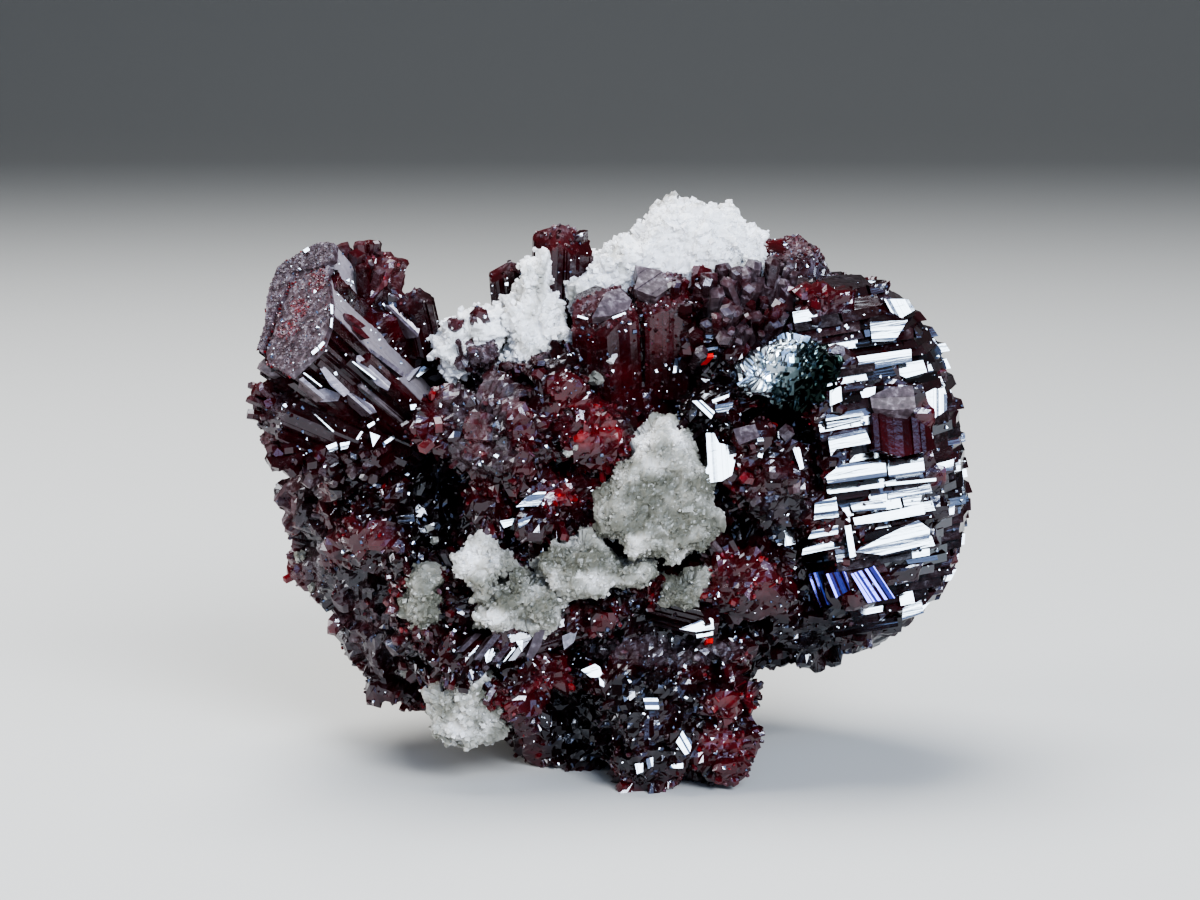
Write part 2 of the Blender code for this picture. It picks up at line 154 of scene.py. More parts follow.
def on_plane(pixels, place, normal):
    """Where the ways through pixels meet a plane."""
    ways = [ray(pixel) for pixel in pixels]
    return np.array([CAMERA_AT + way * ((place - CAMERA_AT) @ normal) / (way @ normal) for way in ways])


def turned(vector, axis, degrees):
    """A vector turned about an axis."""
    return np.array(Matrix.Rotation(math.radians(degrees), 3, Vector(axis)) @ Vector(vector))


# Materials

# Colours along a value: position, red, green, blue
RED_STOPS = ((0.12, 0.004, 0.0004, 0.0007), (0.38, 0.020, 0.0012, 0.0022), (0.62, 0.070, 0.003, 0.005),
             (0.85, 0.22, 0.008, 0.008), (1.0, 0.60, 0.010, 0.010))
FROST_STOPS = ((0.30, 0.020, 0.010, 0.014), (0.52, 0.090, 0.062, 0.074), (0.75, 0.34, 0.30, 0.34))
SUGAR_STOPS = ((0.1, 0.125, 0.125, 0.10), (0.4, 0.29, 0.285, 0.25), (0.7, 0.59, 0.58, 0.55),
               (0.95, 0.93, 0.93, 0.94))
METAL_STOPS = ((0.2, 0.010, 0.018, 0.016), (0.5, 0.10, 0.14, 0.15), (0.8, 0.62, 0.70, 0.78))
PALE = (0.36, 0.32, 0.34, 1)
BUMP_HEIGHT = 0.03
STREAK_SHAPE = (12.0, 1.0, 1.0)  # how far noise is drawn out along the barrel's bars


class Shader:
    """A material, and what makes its nodes."""

    def __init__(self, name):
        self.material = bpy.data.materials.new(name)
        self.material.use_nodes = True
        self.tree = self.material.node_tree

    def feed(self, sockets, values):
        """Sets each socket to its value, or joins it to another node's output."""
        for key, value in values.items():
            if isinstance(value, bpy.types.NodeSocket):
                self.tree.links.new(value, sockets[key])
            else:
                sockets[key].default_value = value

    def done(self, values):
        """The material, once its shader has these values."""
        self.feed(self.tree.nodes["Principled BSDF"].inputs, values)
        return self.material

    def add(self, kind, output, values, **settings):
        """The named output of a new node."""
        node = self.tree.nodes.new(kind)
        for key, value in settings.items():
            setattr(node, key, value)
        self.feed(node.inputs, values)
        return node.outputs[output]

    def mark(self, name):
        """What a mesh says at each point, tone or frost."""
        return self.add("ShaderNodeAttribute", "Fac", {}, attribute_name=name)

    def own_space(self):
        """Places in the part's own space."""
        return self.add("ShaderNodeTexCoord", "Object", {})

    def noise(self, scale, detail, roughness=0.6, place=None):
        """Noise with this many waves to the metre."""
        if place is None:
            place = self.own_space()
        values = {"Scale": scale, "Detail": detail, "Roughness": roughness, "Vector": place}
        return self.add("ShaderNodeTexNoise", "Fac", values)

    def streaks(self, scale, detail):
        """Noise drawn out along the barrel's bars."""
        turn = (0.0, BARREL_TILT, BARREL_YAW)
        values = {"Vector": self.own_space(), "Rotation": turn, "Scale": STREAK_SHAPE}
        place = self.add("ShaderNodeMapping", "Vector", values, vector_type="TEXTURE")
        return self.noise(scale, detail, 0.5, place)

    def ramp(self, value, stops):
        """Colours along a value."""
        colour = self.add("ShaderNodeValToRGB", "Color", {"Fac": value})
        elements = colour.node.color_ramp.elements
        while len(elements) < len(stops):
            elements.new(0.5)
        for element, (position, *shade) in zip(elements, stops):
            element.position = position
            element.color = (*shade, 1)
        return colour

    def sum_of(self, first, second, share):
        """first + second * share"""
        values = {0: second, 1: share, 2: first}
        return self.add("ShaderNodeMath", "Value", values, operation="MULTIPLY_ADD")

    def mapped(self, value, low, high, to_low, to_high):
        """A value moved from one range to another, and held inside it."""
        values = {"Value": value, "From Min": low, "From Max": high, "To Min": to_low, "To Max": to_high}
        return self.add("ShaderNodeMapRange", "Result", values)

    def mixed(self, first, second, share):
        """Two colours mixed, with this share of the second."""
        values = {"Factor": share, "A": first, "B": second}
        return self.add("ShaderNodeMix", "Result", values, data_type="RGBA")

    def bump(self, height, strength):
        """Fine relief."""
        values = {"Height": height, "Strength": strength, "Distance": BUMP_HEIGHT * MM}
        return self.add("ShaderNodeBump", "Normal", values)


def proustite_material(name, ior, clean, tint, streaked=False):
    """Dark ruby with an adamantine shine, this smooth where it is clean: tone brightens the
    red, and frost dulls it, greys it and at last turns it pale."""
    shader = Shader(name)
    fine = shader.noise(6000.0, 3.0)
    patchy = shader.sum_of(shader.mark("frost"), fine, 0.5)
    red = shader.ramp(shader.sum_of(shader.mark("tone"), shader.noise(900.0, 4.0), 0.5), RED_STOPS)
    grey = shader.ramp(fine, FROST_STOPS)
    frosted = shader.mixed(red, grey, shader.mapped(patchy, 0.42, 1.15, 0.0, 0.75))
    return shader.done({
        "Base Color": shader.mixed(frosted, PALE, shader.mapped(patchy, 1.25, 2.0, 0.0, 0.85)),
        "Roughness": shader.mapped(patchy, 0.35, 1.3, clean, 0.55),
        "Normal": shader.bump(shader.streaks(5000.0, 4.0) if streaked else fine, 0.35),
        "IOR": ior,
        "Specular Tint": tint,
    })


def calcite_material():
    shader = Shader("calcite_sugar")
    shade = shader.sum_of(shader.mark("tone"), shader.noise(1400.0, 4.0), 1.0)
    return shader.done({
        "Base Color": shader.ramp(shade, SUGAR_STOPS),
        "Normal": shader.bump(shader.noise(14000.0, 2.0), 0.5),
        "Roughness": 0.3,
        "Subsurface Weight": 0.3,
        "Subsurface Radius": (1.0, 1.0, 1.0),
        "Subsurface Scale": 0.2 * MM,
    })


def acanthite_material():
    shader = Shader("acanthite_metal")
    shade = shader.sum_of(shader.mark("tone"), shader.noise(3000.0, 3.0), 0.6)
    return shader.done({"Base Color": shader.ramp(shade, METAL_STOPS), "Metallic": 1.0, "Roughness": 0.16})


def floor_material():
    return Shader("pale_floor").done({"Base Color": (0.62, 0.62, 0.60, 1), "Roughness": 0.8})


RUBY = proustite_material("proustite_ruby", 1.65, 0.12, (0.85, 0.90, 1.0, 1))
MIRROR = proustite_material("proustite_mirror", 2.2, 0.10, (0.78, 0.89, 1.0, 1), True)
SHEEN = proustite_material("proustite_sheen", 2.2, 0.10, (0.92, 0.86, 0.92, 1), True)
VIOLET = proustite_material("proustite_violet", 2.2, 0.10, (0.25, 0.28, 1.0, 1), True)
SUGAR = calcite_material()
METAL = acanthite_material()


# Meshes

def linked(name, data):
    """A new object in the scene."""
    made = bpy.data.objects.new(name, data)
    bpy.context.scene.collection.objects.link(made)
    return made


def faces_of(parts):
    """The faces of all the parts, as numbers among all their points."""
    faces, first = [], 0
    for points, all_rows, *_ in parts:
        for rows in all_rows:
            faces += (rows + first).tolist()
        first += len(points)
    return faces


def tree_of(parts):
    """What finds places on the parts."""
    return BVHTree.FromPolygons(np.concatenate([part[0] for part in parts]).tolist(), faces_of(parts))


def piece(name, parts, material, replaced=()):
    """An object riding on the part, from parts of points in millimetres, rows of point
    numbers, and their tone and frost."""
    points = np.concatenate([part[0] for part in parts])
    points[:, 2] = np.maximum(points[:, 2], 0)
    mesh = bpy.data.meshes.new(name)
    mesh.from_pydata((points * MM).tolist(), [], faces_of(parts))
    mesh.validate()
    mesh.shade_flat()
    for number, mark in ((2, "tone"), (3, "frost")):
        values = [np.broadcast_to(part[number], len(part[0])) for part in parts]
        layer = mesh.attributes.new(mark, "FLOAT", "POINT")
        layer.data.foreach_set("value", np.concatenate(values).astype(np.float32))
    mesh.materials.append(material)
    made = linked(name, mesh)
    if replaced:
        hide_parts(*replaced)
    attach(made, BODY)


def column(items, field, width, kind):
    """One field of a mesh's items, in rows of this width."""
    values = np.empty(len(items) * width, kind)
    items.foreach_get(field, values)
    return values.reshape(-1, width)


def triangles_of(node):
    """A CAD node's points in millimetres, and its triangles."""
    mesh = nodes[node].data
    mesh.calc_loop_triangles()
    points = column(mesh.vertices, "co", 3, np.float32).astype(float) / MM
    return points, column(mesh.loop_triangles, "vertices", 3, np.int32)


def remeshed(points, faces, voxel):
    """An even closed skin of small squares over these triangles."""
    mesh = bpy.data.meshes.new("rough")
    mesh.from_pydata(points.tolist(), [], faces.tolist())
    rough = linked("rough", mesh)
    grid = rough.modifiers.new("grid", "REMESH")
    grid.mode = "VOXEL"
    grid.voxel_size = voxel
    even = rough.evaluated_get(bpy.context.evaluated_depsgraph_get())
    made = even.to_mesh()
    skin = column(made.vertices, "co", 3, np.float32).astype(float)
    squares = column(made.loops, "vertex_index", 1, np.int32).reshape(-1, 4)
    even.to_mesh_clear()
    bpy.data.objects.remove(rough)
    bpy.data.meshes.remove(mesh)
    return skin, squares


def normals_at(points, squares):
    """The skin's outward direction at each of its points."""
    across = points[squares[:, 2]] - points[squares[:, 0]]
    along = points[squares[:, 3]] - points[squares[:, 1]]
    flat = np.cross(across, along)
    total = np.zeros_like(points)
    for corner in range(4):
        np.add.at(total, squares[:, corner], flat)
    return unit(total)


def smoothed(points, squares, values, rounds):
    """Values at the points, each averaged with its neighbours this many times."""
    ends = np.concatenate([squares[:, [k, (k + 1) % 4]] for k in range(4)])
    weight = np.bincount(ends[:, 0], minlength=len(points))[:, None]
    for _ in range(rounds):
        total = np.zeros_like(values)
        np.add.at(total, ends[:, 0], values[ends[:, 1]])
        values = 0.5 * values + 0.5 * total / weight
    return values


def even_skin(node, voxel, rounds):
    """An even skin over a CAD node, and its outward directions smoothed this many times."""
    skin, squares = remeshed(*triangles_of(node), voxel)
    return skin, squares, unit(smoothed(skin, squares, normals_at(skin, squares), rounds))


def nearest(seeds, points):
    """For each point, the number of the nearest seed."""
    tree = kdtree.KDTree(len(seeds))
    for number, seed in enumerate(seeds):
        tree.insert(seed, number)
    tree.balance()
    return np.array([tree.find(point)[1] for point in points])


def faceted(points, normals, voxel, facets, rng, share=1.0):
    """Moves each point onto the flat face of the cell it is in, so the skin looks crystalline.
    The points, and the number of the cell that each is in."""
    spacing, tilt, jitter, limit = facets
    area_share = (voxel / spacing) ** 2
    chosen = rng.choice(len(points), max(int(len(points) * area_share), 4), replace=False)
    seeds = points[chosen] + rng.normal(scale=0.1 * spacing, size=(len(chosen), 3))
    leaning = unit(normals[chosen] + tilt * directions(len(chosen), rng))
    level = rng.uniform(-jitter, jitter, len(chosen))
    cell = nearest(seeds, points)
    gap = (seeds[cell] + normals[chosen][cell] * level[cell][:, None] - points)
    steep = np.maximum((normals * leaning[cell]).sum(1), 0.35)
    move = np.clip((gap * leaning[cell]).sum(1) / steep, -limit, limit) * share
    return points + normals * move[:, None], cell


def waves(points, size, seed):
    """Smooth noise about zero at the points, with waves of about this size."""
    shift = Vector((seed * 7.3, seed * 3.1, seed * 1.7))
    return np.array([noise.noise(Vector(point) / size + shift) for point in points])


def loft(rings):
    """A closed block through rings that have the same number of points."""
    block = bmesh.new()
    rings = [[block.verts.new(point) for point in ring] for ring in rings]
    count = len(rings[0])
    for near, far in zip(rings, rings[1:]):
        for k in range(count):
            after = (k + 1) % count
            block.faces.new((near[k], near[after], far[after], far[k]))
    block.faces.new(rings[0][::-1])
    block.faces.new(rings[-1])
    return block


def emptied(block):
    """A block's points and triangles. The block is freed."""
    bmesh.ops.triangulate(block, faces=block.faces[:])
    block.verts.index_update()
    points = np.array([vert.co for vert in block.verts])
    rows = np.array([[vert.index for vert in face.verts] for face in block.faces])
    block.free()
    return points, rows


def flat_slab(front, back):
    """A solid between two rings of points."""
    block = loft((front, back))
    bmesh.ops.recalc_face_normals(block, faces=block.faces[:])
    return emptied(block)


# Single crystals with fine ribs along them

PAST_TIP = 1.35  # how far a crystal runs before it is cut to its length
LOW_FACE = 25  # the slope in degrees of a tip's three low faces, and of its three steep ones
STEEP_FACE = 43


def six_sided(radius, turn, uneven, rng):
    """The corners of an uneven section whose sides are about this far from the middle."""
    angles = math.radians(turn) + (np.arange(6) + 0.5) * math.tau / 6
    reach = radius / math.cos(math.pi / 6) * (1 - uneven * rng.random(6))
    return np.stack([np.cos(angles) * reach, np.sin(angles) * reach], axis=1)


def ribbed(corners, rib, depths, rng):
    """The outline round a section's corners with each side split into narrow steps."""
    outline = []
    depths = np.broadcast_to(depths, len(corners))
    for start, end, depth in zip(corners, np.roll(corners, -1, axis=0), depths):
        length = np.linalg.norm(end - start)
        along = (end - start) / length
        out = np.array((along[1], -along[0]))
        widths = rng.uniform(0.35, 1.8, max(int(length / rib), 1))
        marks = np.concatenate([[0], np.cumsum(widths)]) * length / widths.sum()
        for low, high in zip(marks, marks[1:]):
            level = -depth * rng.random()
            lean = min(0.35 * (high - low), depth) * rng.uniform(-1, 1)
            outline.append(start + along * low + out * (level - lean))
            outline.append(start + along * high + out * (level + lean))
    return np.array(outline)


def prism(root, run, across, outline, cuts, flare=0.0, shares=(0.0, PAST_TIP)):
    """A solid with this outline round the way it runs, cut by (place, normal) planes. The
    outline's x lies along across, and it has a ring of points at each share of its length."""
    length = np.linalg.norm(run)
    axis = run / length
    across = unit(across - axis * (across @ axis))
    other = np.cross(axis, across)
    rings = []
    for share in shares:
        flat = outline * (1 + flare * (share - 1))
        rings.append(root + axis * length * share + flat[:, :1] * across + flat[:, 1:] * other)
    block = loft(rings)
    for place, normal in cuts:
        everything = block.verts[:] + block.edges[:] + block.faces[:]
        bmesh.ops.bisect_plane(block, geom=everything, dist=1e-5, plane_co=Vector(place),
                               plane_no=Vector(normal), clear_outer=True)
        rim = [edge for edge in block.edges if edge.is_boundary]
        if rim:
            bmesh.ops.holes_fill(block, edges=rim)
    return emptied(block)


def point_cuts(root, run, radius, rng):
    """The planes that end a crystal: three low ones from its tip and three steep ones."""
    axis = run / np.linalg.norm(run)
    side = unit(np.cross(axis, directions(1, rng)[0]))
    cuts = []
    for k in range(3):
        about = turned(side, axis, 120 * k)
        lean = math.radians(LOW_FACE + rng.uniform(-7, 3))
        cuts.append((root + run, axis * math.cos(lean) + about * math.sin(lean)))
        about = turned(side, axis, 120 * k + 60)
        lean = math.radians(STEEP_FACE)
        drop = radius * rng.uniform(-0.1, 0.25)
        cuts.append((root + run - axis * drop, axis * math.cos(lean) + about * math.sin(lean)))
    return cuts


def crystal(root, tip, radius, turn, tone, frost, tip_frost, depth, rng):
    """A ribbed pointed crystal, more frosted at its tip, and redder there: a painted glow of light through
    the thin tip.
    """
    root, tip = moved(root), moved(tip)
    run = tip - root
    rib = 0.09 + 0.05 * radius
    radius = radius + HERO_MARGIN
    outline = ribbed(six_sided(radius, turn, 0.12, rng), rib, depth, rng)
    shoulder = 1 - 0.9 * radius / np.linalg.norm(run)
    points, rows = prism(root, run, np.cross(run, (0.0, 1.0, 0.3)), outline,
                         point_cuts(root, run, radius, rng), shares=(0.0, shoulder, PAST_TIP))
    share = ((points - root) @ run) / (run @ run)
    top = np.clip((share - shoulder) / (1 - shoulder), 0, 1)
    # The tone rising toward the tip is a painted glow
    return points, [rows], tone + 0.15 * top, frost + tip_frost * top


# Clouds of small crystals and grains

def stands(outs, rng):
    """Two directions at right angles to each outward one."""
    side = unit(np.cross(outs, directions(len(outs), rng)))
    return side, np.cross(outs, side)


def crystal_cloud(places, outs, radii, lengths, tones, frosts, rng, squash=0.25):
    """Six-sided crystals with three-faced tips, standing at the places."""
    count = len(places)
    side, other = stands(outs, rng)
    angle = np.arange(6) * math.tau / 6
    wide = 1 + rng.uniform(-squash, squash, (count, 1))
    x = np.cos(angle)[None] * radii[:, None] * wide
    y = np.sin(angle)[None] * radii[:, None] / wide
    slope = np.tan(rng.uniform(0.35, 0.8, (count, 1))) * radii[:, None]
    drop = np.where(np.arange(6) % 2 == 0, 1.0, 0.5)[None] * slope
    ring = (places[:, None] + side[:, None] * x[..., None] + other[:, None] * y[..., None])
    high = ring + outs[:, None] * (lengths[:, None] - drop)[..., None]
    tip = (places + outs * lengths[:, None])[:, None]
    low = ring - outs[:, None] * 0.15
    points = np.concatenate([low, high, tip], axis=1).reshape(-1, 3)
    each = 13  # six low corners, six high ones and the tip
    first = np.arange(count)[:, None, None] * each
    k = np.arange(6)
    after = (k + 1) % 6
    sides = np.stack([k, after, after + 6, k + 6], axis=1)[None] + first
    caps = np.array([(12, 11, 6, 7), (12, 7, 8, 9), (12, 9, 10, 11)])[None] + first
    # Redder toward the tip: a painted glow of light through the thin tip
    lift = np.repeat([0.0, 0.05, 0.14], (6, 6, 1))[None]
    return (points, [sides.reshape(-1, 4), caps.reshape(-1, 4)],
            (tones[:, None] + lift).ravel(), np.repeat(frosts, each))


BLOCK = np.array([(x, y, z) for x in (-1, 1) for y in (-1, 1) for z in (-1, 1)], float)
BLOCK_FACES = np.array([(0, 1, 3, 2), (4, 6, 7, 5), (0, 4, 5, 1),
                        (2, 3, 7, 6), (0, 2, 6, 4), (1, 5, 7, 3)])


def grain_cloud(places, sizes, tones, frosts, rng, uneven, first=None, thin=1.0):
    """Small blocks, a little out of true, each turned at random or facing its first way."""
    count = len(places)
    if first is None:
        first = directions(count, rng)
    second, third = stands(first, rng)
    each = len(BLOCK)
    local = BLOCK[None] * (1 + rng.uniform(-uneven, uneven, (count, each, 3)))
    local = local * sizes[:, None, None] * np.array((thin, 1.0, 1.0))
    spun = (local[..., :1] * first[:, None] + local[..., 1:2] * second[:, None]
            + local[..., 2:] * third[:, None])
    points = (places[:, None] + spun).reshape(-1, 3)
    rows = BLOCK_FACES[None] + np.arange(count)[:, None, None] * each
    return points, [rows.reshape(-1, 4)], np.repeat(tones, each), np.repeat(frosts, each)


def dust(places, sizes, tone, frost, rng):
    """Grains of uneven tone and frost at the places."""
    grain = rng.uniform(*sizes, len(places))
    tones = tone + rng.uniform(-0.15, 0.15, len(places))
    frosts = frost + rng.uniform(-0.3, 0.2, len(places))
    return grain_cloud(places, grain, tones, frosts, rng, 0.35)


def strewn(points, normals, voxel, count, rng, keep=None):
    """Places picked at random over an even skin: their numbers, and the places themselves."""
    allowed = np.arange(len(points)) if keep is None else np.nonzero(keep)[0]
    chosen = rng.choice(allowed, count)
    slide = rng.normal(scale=0.5 * voxel, size=(count, 3))
    slide -= normals[chosen] * (slide * normals[chosen]).sum(1, keepdims=True)
    return chosen, points[chosen] + slide


# The pointed crystals: root, tip, radius, turn, tone, frost, frost at the tip, depth of the ribs
CRYSTALS = (
    ((-5.6, -2.6, 9.1), (-9.0, -4.6, 10.9), 0.8, 20, 0.05, 0.15, 0.4, 0.10),
    ((-7.4, -3.0, 9.9), (-8.6, -4.3, 9.0), 0.5, 0, 0.05, 0.0, 0.4, 0.045),
    ((-6.6, -2.6, 9.3), (-7.6, -4.4, 8.9), 0.5, 10, 0.05, 0.0, 0.5, 0.045),
    ((-5.6, -2.6, 9.4), (-6.5, -4.5, 9.1), 0.45, 0, 0.1, 0.0, 0.5, 0.045),
    ((-4.8, -2.0, 12.0), (-5.1, -2.9, 13.7), 0.5, 0, 0.1, 0.1, 0.4, 0.045),
    ((-7.4, 1.2, 9.0), (-9.9, 1.3, 9.0), 0.75, 0, 0.2, 0.3, 0.5, 0.045),
    ((-1.1, -1.0, 12.4), (-1.0, -1.9, 15.4), 0.75, 15, 0.15, 0.0, 0.6, 0.045),
    ((-2.4, -0.4, 12.0), (-2.6, -0.6, 14.3), 0.5, 0, 0.1, 0.1, 0.5, 0.045),
    ((0.3, -1.8, 10.4), (0.1, -3.5, 13.8), 0.92, 2, 0.20, 0.18, 0.6, 0.03),
    ((1.9, -1.4, 11.0), (1.85, -2.9, 14.2), 0.98, 25, 0.22, 0.20, 0.6, 0.03),
    ((4.8, 1.6, 11.4), (5.7, 2.8, 14.9), 1.2, 0, 0.15, 0.4, 0.3, 0.045),
    ((5.8, 1.8, 11.2), (7.2, 2.6, 13.7), 1.1, 0, 0.1, 0.3, 0.3, 0.045),
    ((3.7, -1.0, 12.0), (4.2, -2.2, 14.0), 0.6, 0, 0.2, 0.3, 0.2, 0.045),
    ((-0.3, -3.4, 4.9), (-3.1, -4.3, 4.2), 0.55, 0, 0.1, 0.2, 0.1, 0.045),
    ((1.4, -3.3, 5.0), (3.2, -4.6, 4.8), 0.4, 0, 0.0, 0.0, 0.0, 0.045),
    ((-6.0, 1.6, 4.8), (-8.0, 2.6, 4.6), 0.8, 0, 0.2, 0.2, 0.2, 0.045),
    ((-2.8, 2.6, 9.4), (-4.8, 4.9, 11.2), 1.3, 0, 0.1, 0.1, 0.4, 0.045),
    ((0.8, 2.2, 11.4), (1.2, 4.0, 13.6), 1.0, 0, 0.15, 0.1, 0.4, 0.045),
    ((2.4, 3.4, 6.4), (4.4, 6.1, 6.6), 1.3, 0, 0.1, 0.1, 0.4, 0.045),
    ((-3.8, 2.8, 5.2), (-5.4, 5.3, 4.4), 1.2, 0, 0.2, 0.1, 0.3, 0.045),
    ((-1.0, 3.6, 6.0), (-1.8, 6.1, 6.2), 1.0, 0, 0.1, 0.1, 0.4, 0.045),
    ((5.6, 2.4, 4.6), (7.2, 4.6, 3.6), 1.0, 0, 0.1, 0.1, 0.3, 0.045),
)
HERO_MARGIN = 0.04  # how much wider than the plain solid's each crystal is

# Smaller crystals that the solid leaves to the scene
MORE_CRYSTALS = (
    ((2.7, -2.0, 12.2), (2.75, -3.0, 14.3), 0.26, 0, 0.22, 0.1, 0.2, 0.03),
    ((-3.1, -2.4, 11.2), (-3.15, -3.9, 12.2), 0.36, 15, 0.0, 0.4, 0.4, 0.04),
    ((-3.9, -2.2, 12.0), (-3.85, -3.5, 12.9), 0.22, 0, 0.15, 0.1, 0.3, 0.03),
    ((-3.2, -2.2, 12.2), (-3.25, -3.7, 13.1), 0.24, 10, 0.10, 0.1, 0.3, 0.03),
    ((-1.5, -2.8, 11.0), (-1.55, -4.0, 11.9), 0.34, 10, 0.05, 0.2, 0.4, 0.04),
)

# Bunches of small crystals: foot, the middle of their tips, how far they spread, how many,
# tone, frost
BUNCHES = (
    ((2.3, -2.2, 12.2), (2.35, -3.3, 13.5), 0.45, 14, 0.05, 0.2),
    ((3.0, -2.2, 12.2), (3.15, -3.3, 13.7), 0.45, 16, 0.0, 0.5),
    ((3.6, -2.1, 12.2), (3.75, -3.1, 14.0), 0.45, 16, 0.0, 0.7),
    ((4.2, -1.8, 12.2), (4.35, -2.7, 14.1), 0.45, 16, 0.0, 0.7),
    ((4.7, -1.2, 12.0), (4.90, -2.0, 14.1), 0.45, 16, 0.05, 0.6),
    ((3.4, -2.6, 11.8), (3.50, -3.7, 12.9), 0.50, 18, 0.0, 0.4),
    ((4.3, -2.3, 11.8), (4.50, -3.3, 13.0), 0.50, 18, 0.05, 0.4),
    ((2.6, -2.6, 11.6), (2.60, -3.8, 12.5), 0.45, 14, 0.0, 0.2),
    ((5.2, -1.6, 11.6), (5.50, -2.6, 12.8), 0.50, 18, 0.1, 0.3),
    ((-3.4, -2.4, 11.2), (-3.6, -3.6, 12.0), 0.40, 12, 0.0, 0.4),
    ((-2.5, -2.8, 10.9), (-2.5, -3.9, 11.5), 0.40, 12, 0.05, 0.3),
    ((-6.4, -2.2, 12.6), (-6.4, -2.9, 14.4), 0.60, 22, 0.12, 0.3),
    ((-7.6, -3.2, 9.4), (-8.6, -4.3, 9.2), 0.45, 16, 0.05, 0.2),
    ((-6.6, -3.0, 9.2), (-7.5, -4.5, 9.0), 0.45, 16, 0.05, 0.2),
    ((-5.8, -3.0, 9.2), (-6.4, -4.5, 9.1), 0.45, 16, 0.0, 0.2),
    ((-8.2, -3.4, 10.4), (-9.0, -4.7, 10.9), 0.50, 18, 0.1, 0.3),
)

# The big upper-left crystal. Its end face has this outline in the photograph
BIG_ROOT = moved((-5.1, -1.3, 9.9))
BIG_TIP = moved((-8.05, -4.5, 13.25))
BIG_END = ((334, 243), (320, 242), (304, 250), (277, 267), (267, 297), (265, 324), (257, 348),
           (267, 365), (290, 377), (322, 349), (330, 326), (332, 305), (327, 270))
BIG_FLARE = 0.26  # how much narrower it is at its root

# The thin crystals along it: how many, and from where round it to where, in degrees
BIG_BARS = 26
BIG_BARS_FROM, BIG_BARS_SPAN = -98, 116

# Right of and above the first pixel its ribs are shallow, and of the second it is frosted pale
SHALLOW_FROM = (323, 318)
PALE_FROM = (318, 312)

# On its end: a crusted rim and an inner face, with a groove between them
BIG_RIM = ((334, 243), (320, 242), (304, 250), (277, 267), (267, 297), (265, 324), (257, 348),
           (262, 353), (270, 327), (273, 313), (283, 297), (288, 281), (295, 271), (318, 267),
           (333, 259))
BIG_INNER = ((331, 268), (318, 272), (299, 277), (294, 286), (289, 302), (278, 317), (275, 329),
             (266, 353), (269, 364), (290, 376), (321, 348), (329, 326), (331, 305), (327, 272))

# How far each stands out, and how far the grains in the groove and on the redder spots do
BIG_PLATES = ((BIG_RIM, 0.10), (BIG_INNER, 0.07))
GROOVE_LIFT = 0.03
BLUSH_LIFT = 0.075

# The grains on them: how many, from what size to what, tone, frost
PLATE_CRUST = (700, (0.010, 0.032), 0.1, 0.9)
GROOVE_CRUST = (500, (0.02, 0.035), 0.35, 0.1)

# The redder spots, and how many grains each has. Those are of this size, tone and frost
BLUSH_CRUST = ((0.015, 0.035), 0.40, 0.62)
BIG_BLUSHES = (
    (((292, 302), (302, 298), (309, 305), (306, 316), (296, 318), (290, 311)), 260),
    (((312, 274), (324, 268), (329, 276), (322, 290), (313, 292), (309, 284)), 160),
    (((280, 322), (296, 319), (300, 330), (286, 340), (276, 336)), 160),
)

# Patches of the front that are redder, darker or more frosted: middle and half size in pixels, the
# tone and the frost that each adds, and how bare of small crystals it is. The darker patches at
# (430, 515) in the hollow of the middle, at (568, 730) under the arch of the foot and at
# (840, 640) under the barrel are painted shade, and the redder patch at (575, 485) is a painted
# glow of light through the crystal
PATCHES_WITH_PAINTED_LIGHT = (
    (480, 400, 46, 32, 0.0, 0.45, 0.6),
    (482, 455, 36, 22, 0.0, 0.40, 0.5),
    (528, 455, 26, 26, 0.10, 0.0, 0.3),
    (588, 424, 42, 26, 0.22, 0.20, 0.0),
    (300, 520, 40, 60, 0.05, 0.30, 0.9),
    (350, 620, 70, 60, 0.0, 0.30, 0.9),
    (430, 515, 36, 52, -0.35, -0.2, 0.6),
    (327, 455, 26, 22, 0.15, 0.0, 0.5),
    (385, 535, 24, 22, 0.04, 0.20, 0.5),
    (700, 385, 46, 60, -0.25, 0.0, 0.2),
    (780, 485, 50, 46, -0.05, 0.20, 0.6),
    (745, 575, 48, 46, 0.00, 0.10, 0.2),
    (670, 650, 80, 15, -0.1, 0.50, 0.0),
    (722, 725, 28, 36, 0.12, 0.0, 0.0),
    (568, 730, 26, 34, -0.5, -0.3, 1.0),
    (640, 720, 60, 50, -0.25, 0.0, 0.2),
    (800, 335, 60, 38, 0.0, 0.45, 0.3),
    (765, 262, 60, 32, 0.0, 0.55, 0.2),
    (385, 272, 34, 30, 0.1, 0.30, 0.4),
    (262, 440, 24, 34, 0.0, 1.0, 0.8),
    (270, 510, 18, 60, 0.0, 0.25, 0.6),
    (575, 485, 40, 20, 0.20, 0.20, 0.0),
    (690, 620, 60, 20, -0.3, 0.0, 0.5),
    (840, 640, 100, 50, -0.15, 0.0, 0.7),
)

# Waves in the body's skin: height, size, seed
LUMPS = ((0.16, 0.9, 5), (0.10, 0.4, 6))

# How far the body is drawn back under a crystal of its own, and how far round the big one
DRAWN_BACK = 0.22
BIG_REACH = 2.2


def in_bar(points, root, tip, radius):
    """How deep points lie inside a rounded bar from root to tip, at most one."""
    run = tip - root
    share = np.clip(((points - root) @ run) / (run @ run), 0, 1)
    gap = np.linalg.norm(points - root - share[:, None] * run, axis=1)
    return np.clip((radius - gap) / 0.15, 0, 1)


# The body of the mass, drawn back where a crystal of its own is made

